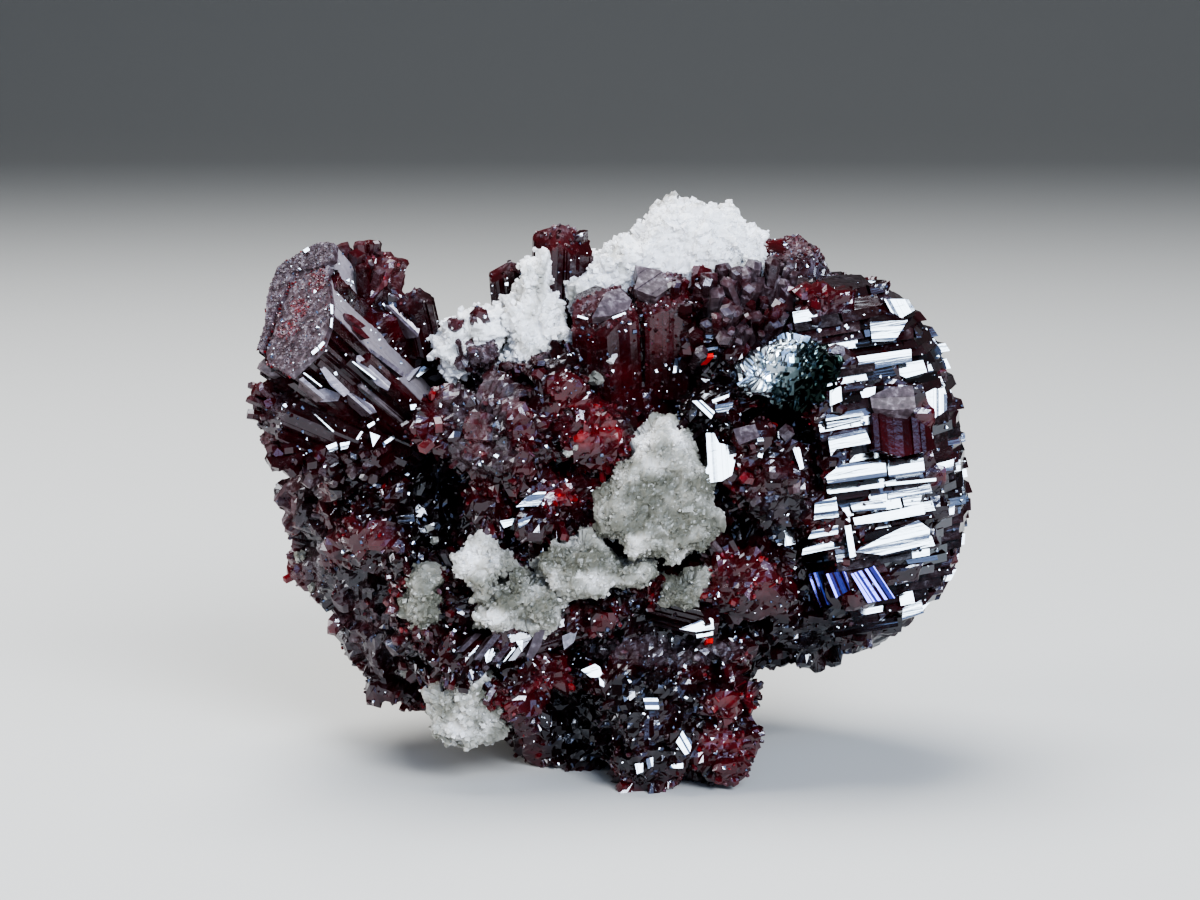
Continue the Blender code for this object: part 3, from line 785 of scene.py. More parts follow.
skin, squares, easy = even_skin("proustite_mass", VOXEL, 6)
covered = in_bar(skin, BIG_ROOT * 0.8 + BIG_TIP * 0.2, BIG_TIP, BIG_REACH)
for root, tip, radius, *_ in CRYSTALS:
    covered = np.maximum(covered, in_bar(skin, moved(root), moved(tip), 1.18 * radius + 0.15))
in_barrel = (skin - BARREL_CENTRE) @ BARREL_AXES
barrel_size = (np.abs(in_barrel / (BARREL_REACH * 1.06)) ** BARREL_SQUARENESS).sum(1)
covered = np.maximum(covered, np.clip((in_barrel[:, 0] + 0.2) / 0.4, 0, 1) * (barrel_size < 1.4))
covered = smoothed(skin, squares, covered[:, None], 2)[:, 0]

rng = dice("body")
open_share = 1 - 0.8 * covered
lumps = sum(height * waves(skin, size, seed) for height, size, seed in LUMPS)
drawn = skin + easy * (open_share * lumps - DRAWN_BACK * covered)[:, None]
rough_skin, cell = faceted(drawn, easy, VOXEL, BODY_FACETS, rng, open_share)
rough_skin, _ = faceted(rough_skin, easy, VOXEL, BODY_FINE_FACETS, rng, open_share)
# Each cell's tone has a random part, which is the mineral's own, and a part from how far the skin stands
# out: hollows get darker, a painted shade, and ridges get redder, a painted glow of light through thin
# edges
flat_skin = smoothed(skin, squares, skin, 10)
ridge = ((skin - flat_skin) * easy).sum(1)
cell_tone_and_painted_shade = rng.uniform(-0.1, 0.25, cell.max() + 1)[cell] + np.clip(ridge * 1.5, -0.3, 0.3)


def spot_share(at, x, y, half_x, half_y):
    """How much of a soft-edged round spot reaches places in the photograph."""
    away = np.hypot((at[:, 0] - x) / half_x, (at[:, 1] - y) / half_y)
    return np.clip((1.25 - away) / 0.5, 0, 1)


def patch_marks(points):
    """The tone and frost that the patches add at points of the front, painted shade and glow among the
    tone, and how bare it is.
    """
    at = pixels_of(points)
    front = np.clip(-(points[:, 1] - 0.5) / 1.5, 0, 1)
    tone, frost, bare = np.zeros((3, len(points)))
    for *spot, add_tone, add_frost, add_bare in PATCHES_WITH_PAINTED_LIGHT:
        share = spot_share(at, *spot) * front
        tone += share * add_tone
        frost += share * add_frost
        bare = np.maximum(bare, share * add_bare)
    return tone, frost, bare


def body_parts():
    tone, frost, _ = patch_marks(rough_skin)
    # The tone carries the cells' painted shade and glow, and the patches' painted shade and glow
    return [(rough_skin, [squares], cell_tone_and_painted_shade + tone, frost)]


def hero_parts():
    """The pointed crystals of the solid, with their ribs."""
    rng = dice("crystals")
    return [crystal(*row, rng) for row in CRYSTALS + MORE_CRYSTALS]


def bunch_parts():
    """Small crystals that fan out from a foot on the mass."""
    rng = dice("bunches")
    parts = []
    for foot, tip, spread, count, tone, frost in BUNCHES:
        starts = moved(foot) + 0.4 * spread * rng.normal(size=(count, 3))
        ends = moved(tip) + spread * rng.uniform(-1, 1, (count, 3))
        lengths = np.linalg.norm(ends - starts, axis=1)
        radii = rng.uniform(0.10, 0.24, count)
        tones = tone + rng.uniform(-0.1, 0.15, count)
        frosts = frost + rng.uniform(-0.3, 0.2, count)
        parts.append(crystal_cloud(starts, unit(ends - starts), radii, lengths, tones, frosts, rng, 0.2))
    return parts


def inside(flat, polygon):
    """Which of the flat points lie inside a polygon."""
    within = np.zeros(len(flat), bool)
    for start, end in zip(polygon, np.roll(polygon, -1, axis=0)):
        level = (start[1] > flat[:, 1]) != (end[1] > flat[:, 1])
        rise = end[1] - start[1] if end[1] != start[1] else 1e-9
        across = start[0] + (end[0] - start[0]) * (flat[:, 1] - start[1]) / rise
        within ^= level & (flat[:, 0] < across)
    return within


def crust(pixels, place, normal, rng, count, sizes, tone, frost):
    """Grains strewn over the part of a plane that shows between these pixels."""
    pixels = np.array(pixels, float)
    tries = rng.uniform(pixels.min(0), pixels.max(0), (4 * count, 2))
    chosen = tries[inside(tries, pixels)][:count]
    return dust(on_plane(chosen, place, normal), sizes, tone, frost, rng)


def right_above(places, pixel):
    """Which places in the photograph are right of and above a pixel."""
    return (places[:, 0] > pixel[0]) & (places[:, 1] < pixel[1])


def big_trunk(axis, front, rng):
    """The big crystal's flared trunk behind its end face."""
    corners = on_plane(BIG_END, BIG_TIP, axis) - BIG_TIP
    flat = np.stack([corners @ front, corners @ np.cross(axis, front)], axis=1)
    sides = np.array(BIG_END, float)
    middle = (sides + np.roll(sides, -1, axis=0)) / 2
    depths = np.where(right_above(middle, SHALLOW_FROM), 0.008, 0.11)
    outline = ribbed(flat, 0.15, depths, rng)
    points, rows = prism(BIG_ROOT, BIG_TIP - BIG_ROOT, front, outline, [(BIG_TIP, axis)], BIG_FLARE)
    depth = (points - BIG_TIP) @ axis
    shown = pixels_of(points - axis * depth[:, None])
    return points, [rows], 0.05, np.where(right_above(shown, PALE_FROM), 1.7, 0.15)


def big_crystal_parts():
    """The big crystal: its trunk, the crusted end, and the thin crystals along it."""
    rng = dice("big")
    run = BIG_TIP - BIG_ROOT
    axis = unit(run)
    front = np.array((0.0, -1.0, 0.0))
    front = unit(front - axis * (front @ axis))
    parts = [big_trunk(axis, front, rng)]
    for pixels, lift in BIG_PLATES:
        place = BIG_TIP + axis * lift
        ring = on_plane(pixels, place, axis)
        points, rows = flat_slab(ring, ring - axis * (lift + 0.1))
        parts.append((points, [rows], 0.10, 0.8))
        parts.append(crust(pixels, place, axis, rng, *PLATE_CRUST))
    parts.append(crust(BIG_END, BIG_TIP + axis * GROOVE_LIFT, axis, rng, *GROOVE_CRUST))
    for pixels, count in BIG_BLUSHES:
        parts.append(crust(pixels, BIG_TIP + axis * BLUSH_LIFT, axis, rng, count, *BLUSH_CRUST))
    for number in range(BIG_BARS):
        step = (number + rng.uniform(-0.3, 0.3)) / (BIG_BARS - 1)
        degrees = BIG_BARS_FROM + BIG_BARS_SPAN * step
        out = turned(front, axis, degrees)
        reach = rng.uniform(1.55, 1.95)
        end = rng.uniform(0.62, 0.97) if degrees > -80 else rng.uniform(0.5, 0.75)
        radius = rng.uniform(0.08, 0.22)
        foot = BIG_ROOT + out * (reach - 0.5)
        tip = BIG_ROOT + run * end + out * reach
        corners = six_sided(radius, rng.uniform(0, 60), 0.15, rng)
        lean = unit(axis + 0.25 * directions(1, rng)[0])
        points, rows = prism(foot, tip - foot, front, corners, [(tip, lean)])
        frost = 1.2 if number % 5 == 1 else rng.uniform(0, 0.35)
        parts.append((points, [rows], rng.uniform(-0.15, 0.25), frost))
    return parts


def bar_parts(y, z, step_y, step_z, length, rng):
    """One bar of the barrel, broken into stretches that stand a little in or out. Some of its
    front faces are tilted to mirror the light."""
    along, back, up = BARREL_AXES.T
    parts = []
    start = BAR_START
    while start < length - 0.1:
        end = min(start + rng.uniform(*BAR_STRETCH), length)
        if length - end < 0.3:
            end = length
        lit = rng.random() < LIT_SHARE
        tilt = math.tan(math.radians(rng.normal(*LIT_TILT) if lit else rng.uniform(*DARK_TILT)))
        half_y = step_y * 0.52 + (0.12 if y < 0 else 0.3) * rng.random()
        half_z = step_z * rng.uniform(0.45, 0.62)
        lean = half_z * tilt
        away = half_z * rng.uniform(-0.7, 0.7)
        corners = np.array([(-half_y - lean, -half_z), (half_y - away, -half_z),
                            (half_y + away, half_z), (-half_y + lean, half_z)])
        root = BARREL_CENTRE + along * start + back * y + up * z
        run = along * (end - start)
        cut = unit(along + rng.uniform(-0.3, 0.3) * up + rng.uniform(-0.1, 0.1) * back)
        if end == length:
            slope = np.array((length, y, z)) / BARREL_REACH
            slope = np.sign(slope) * np.abs(slope) ** (BARREL_SQUARENESS - 1) / BARREL_REACH
            cut = unit(unit(BARREL_AXES @ slope) + 0.15 * directions(1, rng)[0])
        points, rows = prism(root, run, back, corners, [(root + run, cut)])
        parts.append((points, [rows], rng.uniform(-0.15, 0.15), rng.uniform(0, 0.3)))
        start = end + rng.uniform(-0.02, 0.03)
    return parts


def barrel_parts():
    """The bars of the barrel, each as long as the envelope is there."""
    rng = dice("barrel")
    parts = []
    step_z = 2 * BARREL_REACH[2] / BARREL_LEVELS
    step_y = 2 * BARREL_REACH[1] / BARREL_COLUMNS
    for column in range(BARREL_COLUMNS):
        y = (column + 0.5) * step_y - BARREL_REACH[1]
        for level in range(BARREL_LEVELS):
            z = (level + 0.5) * step_z - BARREL_REACH[2]
            room = 1 - abs(z / BARREL_REACH[2]) ** BARREL_SQUARENESS - (y / BARREL_REACH[1]) ** 2
            if room >= 0.02:
                length = BARREL_REACH[0] * room ** (1 / BARREL_SQUARENESS) * rng.uniform(0.97, 1.02)
                parts += bar_parts(y, z, step_y, step_z, length, rng)
    return parts


# Flat faces of the front that mirror the light: their corners in the photograph
BRIGHT_FACES = (
    ((884, 299), (908, 299), (915, 310), (896, 321)), ((870, 322), (908, 320), (896, 339), (872, 340)),
    ((826, 361), (911, 349), (912, 361), (894, 365), (831, 378)),
    ((884, 367), (923, 360), (927, 372), (906, 378)), ((830, 391), (841, 386), (842, 401), (830, 406)),
    ((826, 415), (862, 411), (864, 415), (826, 421)), ((827, 423), (863, 416), (864, 419), (827, 428)),
    ((828, 437), (865, 429), (871, 443), (836, 449), (831, 456)),
    ((842, 464), (885, 460), (887, 476), (828, 484), (826, 476)),
    ((887, 460), (923, 457), (925, 472), (889, 477)), ((829, 491), (884, 484), (884, 487), (829, 494)),
    ((886, 483), (936, 478), (936, 481), (886, 486)), ((815, 503), (836, 497), (839, 517), (814, 520)),
    ((850, 503), (882, 500), (887, 509), (853, 512)),
    ((853, 518), (901, 509), (923, 502), (925, 514), (887, 521), (855, 525)),
    ((841, 503), (847, 502), (856, 556), (850, 558)),
    ((855, 552), (880, 538), (918, 520), (930, 529), (929, 544), (882, 555)),
    ((812, 531), (838, 525), (838, 534), (808, 539)), ((803, 549), (838, 537), (840, 547), (802, 555)),
    ((804, 558), (824, 555), (822, 562), (807, 563)), ((906, 560), (937, 555), (938, 560), (908, 564)),
    ((899, 595), (912, 589), (915, 603), (901, 606)), ((903, 608), (921, 600), (924, 613), (902, 620)),
    ((923, 394), (935, 388), (947, 395), (947, 410), (935, 418), (925, 408)),
    ((936, 464), (954, 459), (953, 470), (938, 472)), ((944, 507), (955, 503), (954, 514), (945, 516)),
    ((785, 532), (794, 529), (796, 544), (785, 546)), ((794, 447), (800, 449), (804, 468), (800, 470)),
    ((679, 629), (708, 617), (713, 619), (714, 629), (696, 632)),
    ((696, 634), (713, 631), (713, 635), (697, 638)), ((668, 634), (675, 633), (674, 641), (669, 642)),
    ((581, 670), (595, 664), (600, 667), (602, 674), (598, 678), (590, 677)),
    ((599, 677), (604, 682), (604, 687), (600, 685)),
    ((684, 728), (692, 742), (690, 753), (685, 755), (676, 742)),
    ((635, 764), (643, 762), (643, 772), (637, 774)), ((646, 759), (653, 757), (653, 766), (648, 769)),
    ((671, 765), (683, 763), (683, 769), (673, 768)), ((623, 696), (629, 699), (629, 705), (625, 705)),
    ((643, 698), (658, 698), (659, 709), (646, 709)), ((484, 650), (494, 648), (491, 661), (486, 662)),
    ((516, 641), (523, 640), (522, 652)), ((675, 358), (687, 358), (688, 366), (681, 372), (673, 373)),
    ((705, 330), (716, 329), (718, 335), (713, 339), (706, 338)),
    ((702, 349), (718, 346), (718, 349), (702, 352)), ((692, 401), (701, 400), (715, 412), (711, 419)),
    ((715, 405), (733, 402), (733, 406), (727, 412), (716, 412)),
    ((712, 400), (729, 394), (729, 397), (713, 403)),
    ((706, 433), (714, 433), (719, 443), (736, 447), (736, 457), (732, 475), (722, 481),
     (702, 484), (701, 479), (708, 465)), ((757, 450), (764, 449), (762, 458), (758, 457)),
    ((757, 438), (763, 437), (764, 441), (758, 442)), ((793, 449), (799, 447), (803, 467), (800, 470)),
    ((785, 395), (795, 397), (807, 407), (800, 409), (789, 403)),
    ((516, 507), (526, 497), (538, 492), (546, 492), (544, 498), (538, 506)),
    ((500, 521), (516, 518), (514, 524), (504, 528)), ((518, 520), (533, 515), (527, 524), (519, 528)),
    ((356, 439), (361, 431), (363, 432), (358, 440)), ((370, 432), (380, 436), (373, 447)),
    ((367, 425), (374, 421), (375, 424), (369, 428)), ((384, 442), (394, 435), (395, 438), (386, 444)),
    ((326, 446), (336, 442), (338, 449), (330, 452)), ((340, 443), (350, 441), (348, 448), (341, 450)),
    ((293, 395), (294, 394), (334, 431), (333, 432)), ((303, 373), (304, 372), (322, 386), (321, 387)),
    ((352, 362), (353, 361), (376, 379), (375, 380)), ((382, 304), (383, 303), (400, 318), (399, 319)),
    ((405, 322), (406, 321), (419, 333), (418, 334)), ((330, 304), (333, 305), (333, 314), (331, 314)),
    ((331, 318), (333, 318), (332, 328), (330, 327)), ((318, 346), (323, 341), (325, 343), (320, 349)),
    ((311, 352), (317, 347), (319, 350), (313, 355)), ((303, 250), (308, 247), (310, 250), (305, 253)),
    ((410, 405), (416, 404), (417, 409), (411, 410)), ((412, 373), (424, 366), (430, 369), (418, 377)),
    ((427, 378), (440, 371), (446, 374), (435, 382)), ((446, 376), (455, 372), (458, 377), (450, 382)),
    ((578, 315), (588, 318), (588, 320), (577, 317)), ((594, 319), (606, 317), (606, 319), (594, 321)),
    ((612, 317), (625, 312), (626, 314), (613, 319)), ((619, 269), (623, 267), (625, 271), (621, 274)),
    ((486, 663), (489, 662), (499, 650), (497, 649)), ((503, 662), (505, 661), (516, 648), (514, 647)),
    ((468, 656), (470, 656), (479, 646), (478, 645)),
)

# Faces of the big crystal and beside it that catch the light's edge
SHEEN_FACES = (
    ((351, 357), (360, 355), (391, 383), (388, 391), (377, 385)),
    ((319, 367), (325, 367), (350, 392), (344, 397), (330, 385)),
    ((346, 393), (352, 393), (372, 405), (377, 412), (370, 414)),
    ((313, 391), (325, 388), (341, 394), (338, 401), (321, 402)),
    ((385, 305), (392, 305), (420, 328), (418, 337)),
    ((362, 346), (367, 346), (404, 372), (403, 377)),
    ((299, 379), (303, 377), (326, 397), (324, 400)),
    ((403, 377), (412, 370), (421, 366), (409, 381)),
)

# Striated faces that mirror it bluer, low on the barrel
VIOLET_FACES = (
    ((808, 574), (826, 570), (838, 602), (820, 607)),
    ((826, 574), (846, 570), (850, 590), (836, 598)),
    ((851, 574), (874, 566), (895, 598), (868, 603)),
)

# Their strips: width in pixels, how unevenly they lie, how far they are turned from mirroring
# the light, both in degrees, and frost
BRIGHT_LOOK = (2.6, 4.0, 0.0, 0.0)
SHEEN_LOOK = (2.6, 3.0, 11.0, 0.5)
VIOLET_LOOK = (1.7, 12.0, 0.0, 0.0)

# Larger faces that lie in shade or are frosted: tone, frost, the way they face, corners
DULL_FACES = (
    (0.15, 0.0, (0.35, -1.0, 0.6),
     ((872, 413), (894, 410), (915, 418), (930, 428), (936, 449), (901, 457), (875, 449))),
    (0.05, 0.85, (0.0, -0.7, 0.7),
     ((870, 396), (890, 387), (913, 386), (916, 408), (894, 410), (872, 408))),
    (0.0, 0.6, (-0.2, -1.0, 0.25), ((733, 429), (755, 424), (760, 437), (739, 445))),
    (0.05, 0.5, (0.3, -1.0, 0.1), ((526, 657), (535, 633), (546, 627), (541, 646), (532, 660))),
    (0.0, 0.5, (0.5, -1.0, 0.5), ((457, 652), (463, 652), (482, 634), (476, 633))),
    (0.0, 0.45, (0.3, -1.0, 0.2), ((474, 660), (481, 660), (501, 635), (494, 634))),
    (0.0, 0.4, (0.5, -1.0, 0.6), ((492, 662), (499, 662), (520, 635), (513, 634))),
    (0.0, 0.6, (0.2, -1.0, 0.4), ((508, 661), (515, 660), (536, 632), (529, 632))),
    (0.05, 0.7, (0.1, -1.0, 0.3), ((562, 636), (578, 629), (574, 642), (564, 650))),
    (-0.1, 0.35, (-0.5, -0.8, 0.7),
     ((569, 311), (577, 294), (596, 285), (604, 288), (598, 303), (590, 317), (574, 312))),
    (0.0, 0.95, (0.35, -0.8, 0.7),
     ((600, 303), (606, 292), (620, 288), (632, 300), (629, 309), (610, 316), (592, 317))),
    (0.1, 0.6, (-0.5, -0.8, 0.6), ((612, 274), (618, 265), (632, 264), (636, 277), (624, 287))),
    (0.0, 0.85, (0.2, -0.8, 0.8), ((635, 265), (660, 270), (680, 281), (656, 297), (634, 289), (638, 277))),
    (1.0, 0.0, (0.35, -1.0, 0.6), ((879, 416), (886, 414), (889, 423), (881, 426))),
    (0.26, 0.3, (0.6, -0.7, 0.4), ((344, 313), (352, 315), (366, 326), (362, 328), (346, 318))),
    (0.26, 0.3, (0.6, -0.7, 0.4), ((352, 324), (358, 325), (370, 338), (366, 339), (353, 330))),
    (1.0, 0.0, (0.35, -1.0, 0.6), ((705, 354), (713, 353), (714, 357), (706, 358))),
    (1.0, 0.0, (0.35, -1.0, 0.6), ((706, 639), (713, 638), (713, 643), (706, 643))),
)
FACES = BRIGHT_FACES + SHEEN_FACES + VIOLET_FACES + tuple(row[-1] for row in DULL_FACES)

# Small crystals strewn over the mass: how many, their least and largest radius, how they lean,
# and how long they are for their radius
CLOUDS = {
    "small": (300, 0.10, 0.22, 0.5, (0.9, 2.0)),
    "fringe": (2600, 0.05, 0.15, 0.5, (1.6, 3.4)),
    "fine": (9000, 0.03, 0.09, 0.6, (0.8, 2.0)),
}

# How near the calcite the fringe stands
FRINGE_REACH = 0.30

# The grains on the pointed crystals: how many to the square millimetre of full frost, the
# frost that they start at, and their sizes
HERO_CRUST = (260, 0.15, (0.015, 0.05))

# Where the glints are strewn, from corner to corner in pixels, how many, and their sizes
GLINT_AREA = ((250, 210), (965, 800))
GLINTS = (2200, 0.012, 0.045)

# Loose calcite grains: pixel, half size in pixels, tone
SPECKS = (
    (612, 358, 5, 0.40), (597, 377, 8, -0.10), (609, 284, 5, 0.30), (535, 562, 9, -0.05),
    (428, 530, 6, -0.10), (436, 541, 5, -0.15), (300, 556, 7, -0.25), (313, 588, 6, -0.20),
    (403, 671, 8, 0.05), (568, 453, 4, 0.0), (576, 447, 3, 0.05), (740, 300, 7, -0.05),
    (722, 316, 5, 0.0), (600, 596, 5, 0.05), (300, 560, 5, -0.2), (642, 456, 3, -0.5),
)
SPECK_GRAINS = 8

# How pale each piece of calcite is, and how coarse
CALCITE_LOOKS = {
    "calcite_crest_top": (0.45, 1.0), "calcite_crest_middle": (0.35, 1.0),
    "calcite_crest_left": (0.42, 1.0), "calcite_centre": (-0.23, 0.3),
    "calcite_below_centre": (-0.18, 0.5), "calcite_right_sliver": (-0.25, 0.5),
    "calcite_lower_left": (-0.04, 0.8), "calcite_lower_right": (-0.14, 0.7),
    "calcite_foot_left": (-0.08, 1.0), "calcite_small_grey": (-0.34, 0.6),
    "calcite_back_upper": (0.2, 1.0), "calcite_back_lower": (0.1, 0.8),
}


def seen_at(pixel):
    """The place on the mass that shows at a pixel of the photograph."""
    place, _, _, _ = mass_tree.ray_cast(Vector(CAMERA_AT), Vector(ray(pixel)))
    return None if place is None else np.array(place)


def plate_place(pixels, lift):
    """Where a face between these pixels sits, just in front of the mass there, and how thick
    it is to reach the mass all over."""
    middle = np.mean(pixels, axis=0)
    hits = [seen_at(pixel) for pixel in (*pixels, middle)]
    depths = [np.linalg.norm(hit - CAMERA_AT) for hit in hits if hit is not None]
    if not depths:
        return None, 0.0
    depth = max(min(depths), np.median(depths) - 0.5) - lift
    return CAMERA_AT + ray(middle) * depth, min(0.3 + max(depths) - depth, 0.5)


def clipped(polygon, direction, level, side):
    """The part of a flat polygon on one side of a line."""
    height = (polygon @ direction - level) * side
    kept = []
    for k in range(len(polygon)):
        after = (k + 1) % len(polygon)
        if height[k] >= 0:
            kept.append(polygon[k])
        if (height[k] >= 0) != (height[after] >= 0):
            share = height[k] / (height[k] - height[after])
            kept.append(polygon[k] + share * (polygon[after] - polygon[k]))
    return np.array(kept)


def strips(pixels, width, rng):
    """A polygon of pixels cut into strips along its longest side, and the way they run."""
    polygon = np.array(pixels, float)
    sides = np.roll(polygon, -1, axis=0) - polygon
    longest = sides[np.argmax(np.linalg.norm(sides, axis=1))]
    across = np.array((-longest[1], longest[0])) / np.linalg.norm(longest)
    reach = polygon @ across
    low, high = reach.min(), reach.max()
    widths = rng.uniform(0.4, 1.6, max(int((high - low) / width), 1))
    marks = low + (high - low) * np.concatenate([[0], np.cumsum(widths)]) / widths.sum()
    found = []
    for near, far in zip(marks, marks[1:]):
        strip = clipped(polygon, across, near, 1)
        if len(strip) > 2:
            strip = clipped(strip, across, far, -1)
        if len(strip) > 2:
            found.append(strip)
    longest = longest / np.linalg.norm(longest)
    return found, CAMERA_RIGHT * longest[0] - CAMERA_UP * longest[1]


def face_strip(pixels, place, normal, thick):
    """A thin crystal whose front face shows between these pixels."""
    front = on_plane(pixels, place, normal)
    back = front - normal * thick - (front - front.mean(0)) * 0.3
    points, rows = flat_slab(front, back)
    return points, [rows]


def bright_parts(name, faces, width, uneven, aside, frost):
    """Flat faces that mirror the light or nearly do, each of several narrow strips."""
    rng = dice(name)
    parts = []
    for pixels in faces:
        place, thick = plate_place(pixels, 0.04)
        if place is None:
            continue
        sway = directions(1, rng)[0] * 0.03
        mirror = unit(unit(KEY_AT - place) + unit(CAMERA_AT - place) + sway)
        found, grain = strips(pixels, width, rng)
        for strip in found:
            normal = turned(mirror, grain, aside + rng.normal(0, uneven))
            step = normal * rng.uniform(-0.02, 0.02)
            made = face_strip(strip, place + step, normal, thick)
            parts.append((*made, rng.uniform(-0.1, 0.1), frost + rng.uniform(0, 0.15)))
    return parts


def dull_parts():
    """Larger faces in shade or under frost."""
    rng = dice("dull")
    parts = []
    for tone, frost, facing, pixels in DULL_FACES:
        place, thick = plate_place(pixels, 0.16 if tone > 0.5 else 0.1)
        if place is None:
            continue
        normal = unit(np.array(facing))
        found, grain = strips(pixels, 6.0, rng)
        for strip in found:
            lean = turned(normal, grain, rng.normal(0, 4))
            made = face_strip(strip, place + normal * rng.uniform(-0.02, 0.02), lean, thick)
            parts.append((*made, tone + rng.uniform(-0.05, 0.05), frost + rng.uniform(-0.1, 0.1)))
    return parts


def clear_of_faces(places):
    """Which places don't stand before one of the flat faces."""
    at = pixels_of(places)
    clear = np.ones(len(places), bool)
    for pixels in FACES:
        clear &= ~inside(at, np.array(pixels, float))
    return clear | (places[:, 1] > 0)


def cloud_parts(name, density):
    """Small crystals strewn over the mass, leaving the crystals of their own bare."""
    rng = dice(name)
    count, low, high, lean, stretch = CLOUDS[name]
    chosen, places = strewn(rough_skin, easy, VOXEL, count, rng, rng.random(len(rough_skin)) < density)
    clear = clear_of_faces(places)
    chosen, places = chosen[clear], places[clear]
    count = len(places)
    outs = unit(easy[chosen] + lean * directions(count, rng))
    radii = low * (high / low) ** (rng.random(count) ** 1.6)
    lengths = radii * rng.uniform(*stretch, count)
    tone, frost, _ = patch_marks(places)
    # The tone carries the body's painted shade and glow, and the patches' painted shade and glow
    tones = tone + cell_tone_and_painted_shade[chosen] + rng.uniform(-0.15, 0.15, count)
    frosts = frost + np.where(rng.random(count) < 0.12, 0.4, 0.0)
    return crystal_cloud(places, outs, radii, lengths, tones, frosts, rng)


def crusted(parts, density, least_frost, sizes):
    """Grains over the frosted faces of the parts."""
    rng = dice("crust")
    made = []
    for points, all_rows, tone, frost in parts:
        rows = all_rows[0][:, :3]
        frosts = np.broadcast_to(frost, len(points))
        tones = np.broadcast_to(tone, len(points))
        first, second, third = (points[rows[:, k]] for k in range(3))
        flat = np.cross(second - first, third - first)
        area = np.linalg.norm(flat, axis=1) / 2
        wanted = area * np.clip(frosts[rows].mean(1) - least_frost, 0, 1)
        count = int(density * wanted.sum())
        if count < 1:
            continue
        chosen = rng.choice(len(rows), count, p=wanted / wanted.sum())
        u, v = rng.random((2, count, 1))
        u, v = np.where(u + v > 1, 1 - u, u), np.where(u + v > 1, 1 - v, v)
        places = first[chosen] + u * (second - first)[chosen] + v * (third - first)[chosen]
        made.append(dust(places, sizes, tones[rows[chosen, 0]], frosts[rows[chosen, 0]], rng))
    return made


def glints():
    """Tiny flat faces on the front that mirror the light."""
    rng = dice("glints")
    count, small, large = GLINTS
    hits = [seen_at(pixel) for pixel in rng.uniform(*GLINT_AREA, (count, 2))]
    places = np.array([hit for hit in hits if hit is not None])
    places = places[clear_of_faces(places)] + TO_CAMERA * 0.05
    count = len(places)
    mirror = unit(unit(KEY_AT - places) + unit(CAMERA_AT - places) + 0.07 * directions(count, rng))
    grain = small * (large / small) ** (rng.random(count) ** 2)
    flat = np.zeros(count)
    return grain_cloud(places, grain, flat, flat, rng, 0.5, mirror, 0.5)


def specks():
    """Loose calcite grains: bunches of small blocks at these pixels."""
    rng = dice("specks")
    made = []
    for x, y, radius, tone in SPECKS:
        place = seen_at((x, y))
        if place is None:
            continue
        reach = radius * PIXEL * CAMERA_DISTANCE
        places = place + 0.5 * reach * rng.uniform(-1, 1, (SPECK_GRAINS, 3))
        sizes = 0.45 * reach * rng.uniform(0.6, 1.2, SPECK_GRAINS)
        shade = tone + rng.uniform(-0.1, 0.1, SPECK_GRAINS)
        made.append(grain_cloud(places, sizes, shade, np.zeros(SPECK_GRAINS), rng, 0.3))
    return made


def calcite_near(points, reach):
    """One at points within reach of a piece of calcite, and zero elsewhere."""
    tree = tree_of([(corners, [faces]) for corners, faces in map(triangles_of, CALCITE_LOOKS)])
    gaps = [tree.find_nearest(Vector(point), reach)[3] for point in points]
    return np.array([0.0 if gap is None else 1.0 for gap in gaps])


body, heroes, big, bars = body_parts(), hero_parts(), big_crystal_parts(), barrel_parts()
bunches = bunch_parts()
mass_tree = tree_of(body + heroes + big + bars)
uncovered = 1 - np.clip(covered * 1.3, 0, 1)
free = uncovered * (1 - patch_marks(rough_skin)[2])
fringe = calcite_near(rough_skin, FRINGE_REACH) * uncovered
small = [cloud_parts("small", free), cloud_parts("fringe", fringe)]

piece("proustite_body", body, RUBY, ("proustite_mass",))
piece("proustite_crystals", heroes + bunches, RUBY)
piece("proustite_crust", crusted(heroes, *HERO_CRUST), RUBY)
piece("proustite_big_crystal", big, RUBY)
piece("proustite_barrel", bars, MIRROR)
piece("proustite_bright_faces", bright_parts("bright", BRIGHT_FACES, *BRIGHT_LOOK), MIRROR)
piece("proustite_sheen_faces", bright_parts("sheen", SHEEN_FACES, *SHEEN_LOOK), SHEEN)
piece("proustite_violet_faces", bright_parts("violet", VIOLET_FACES, *VIOLET_LOOK), VIOLET)
piece("proustite_dull_faces", dull_parts(), RUBY)
piece("proustite_small", small, RUBY)
piece("proustite_fine", [cloud_parts("fine", free)], RUBY)
piece("proustite_glints", [glints()], MIRROR)
piece("sugar_specks", specks(), SUGAR)


# Calcite and acanthite

# Tone on the front of the calcite: middle and half size in pixels, and the tone added. It is partly the
# calcite's own grey and partly painted light and shade: the lit tops whiter, the lower middles and shaded
# parts darker
CALCITE_TONE_AND_PAINTED_LIGHT = (
    (655, 445, 34, 28, 0.32),
    (655, 510, 42, 26, -0.22),
    (700, 525, 20, 30, -0.15),
    (632, 545, 26, 10, 0.30),
    (575, 558, 36, 12, -0.25),
    (588, 582, 44, 9, 0.20),
    (480, 560, 22, 18, 0.30),
    (508, 578, 12, 22, -0.30),
    (525, 600, 34, 16, -0.12),
    (488, 614, 22, 9, 0.25),
    (682, 590, 30, 14, -0.20),
    (700, 232, 60, 30, 0.20),
    (540, 368, 22, 12, -0.16),
    (470, 360, 26, 12, -0.08),
    (470, 722, 24, 16, 0.20),
    (490, 695, 14, 14, -0.25),
)

# Where the acanthite turns from bright to dark, and how far that takes, in pixels. The bright metal on the
# left is a painted glitter of the light
GLITTER_MIDDLE = np.array((785, 380))
GLITTER_REACH = np.array((40, 60))


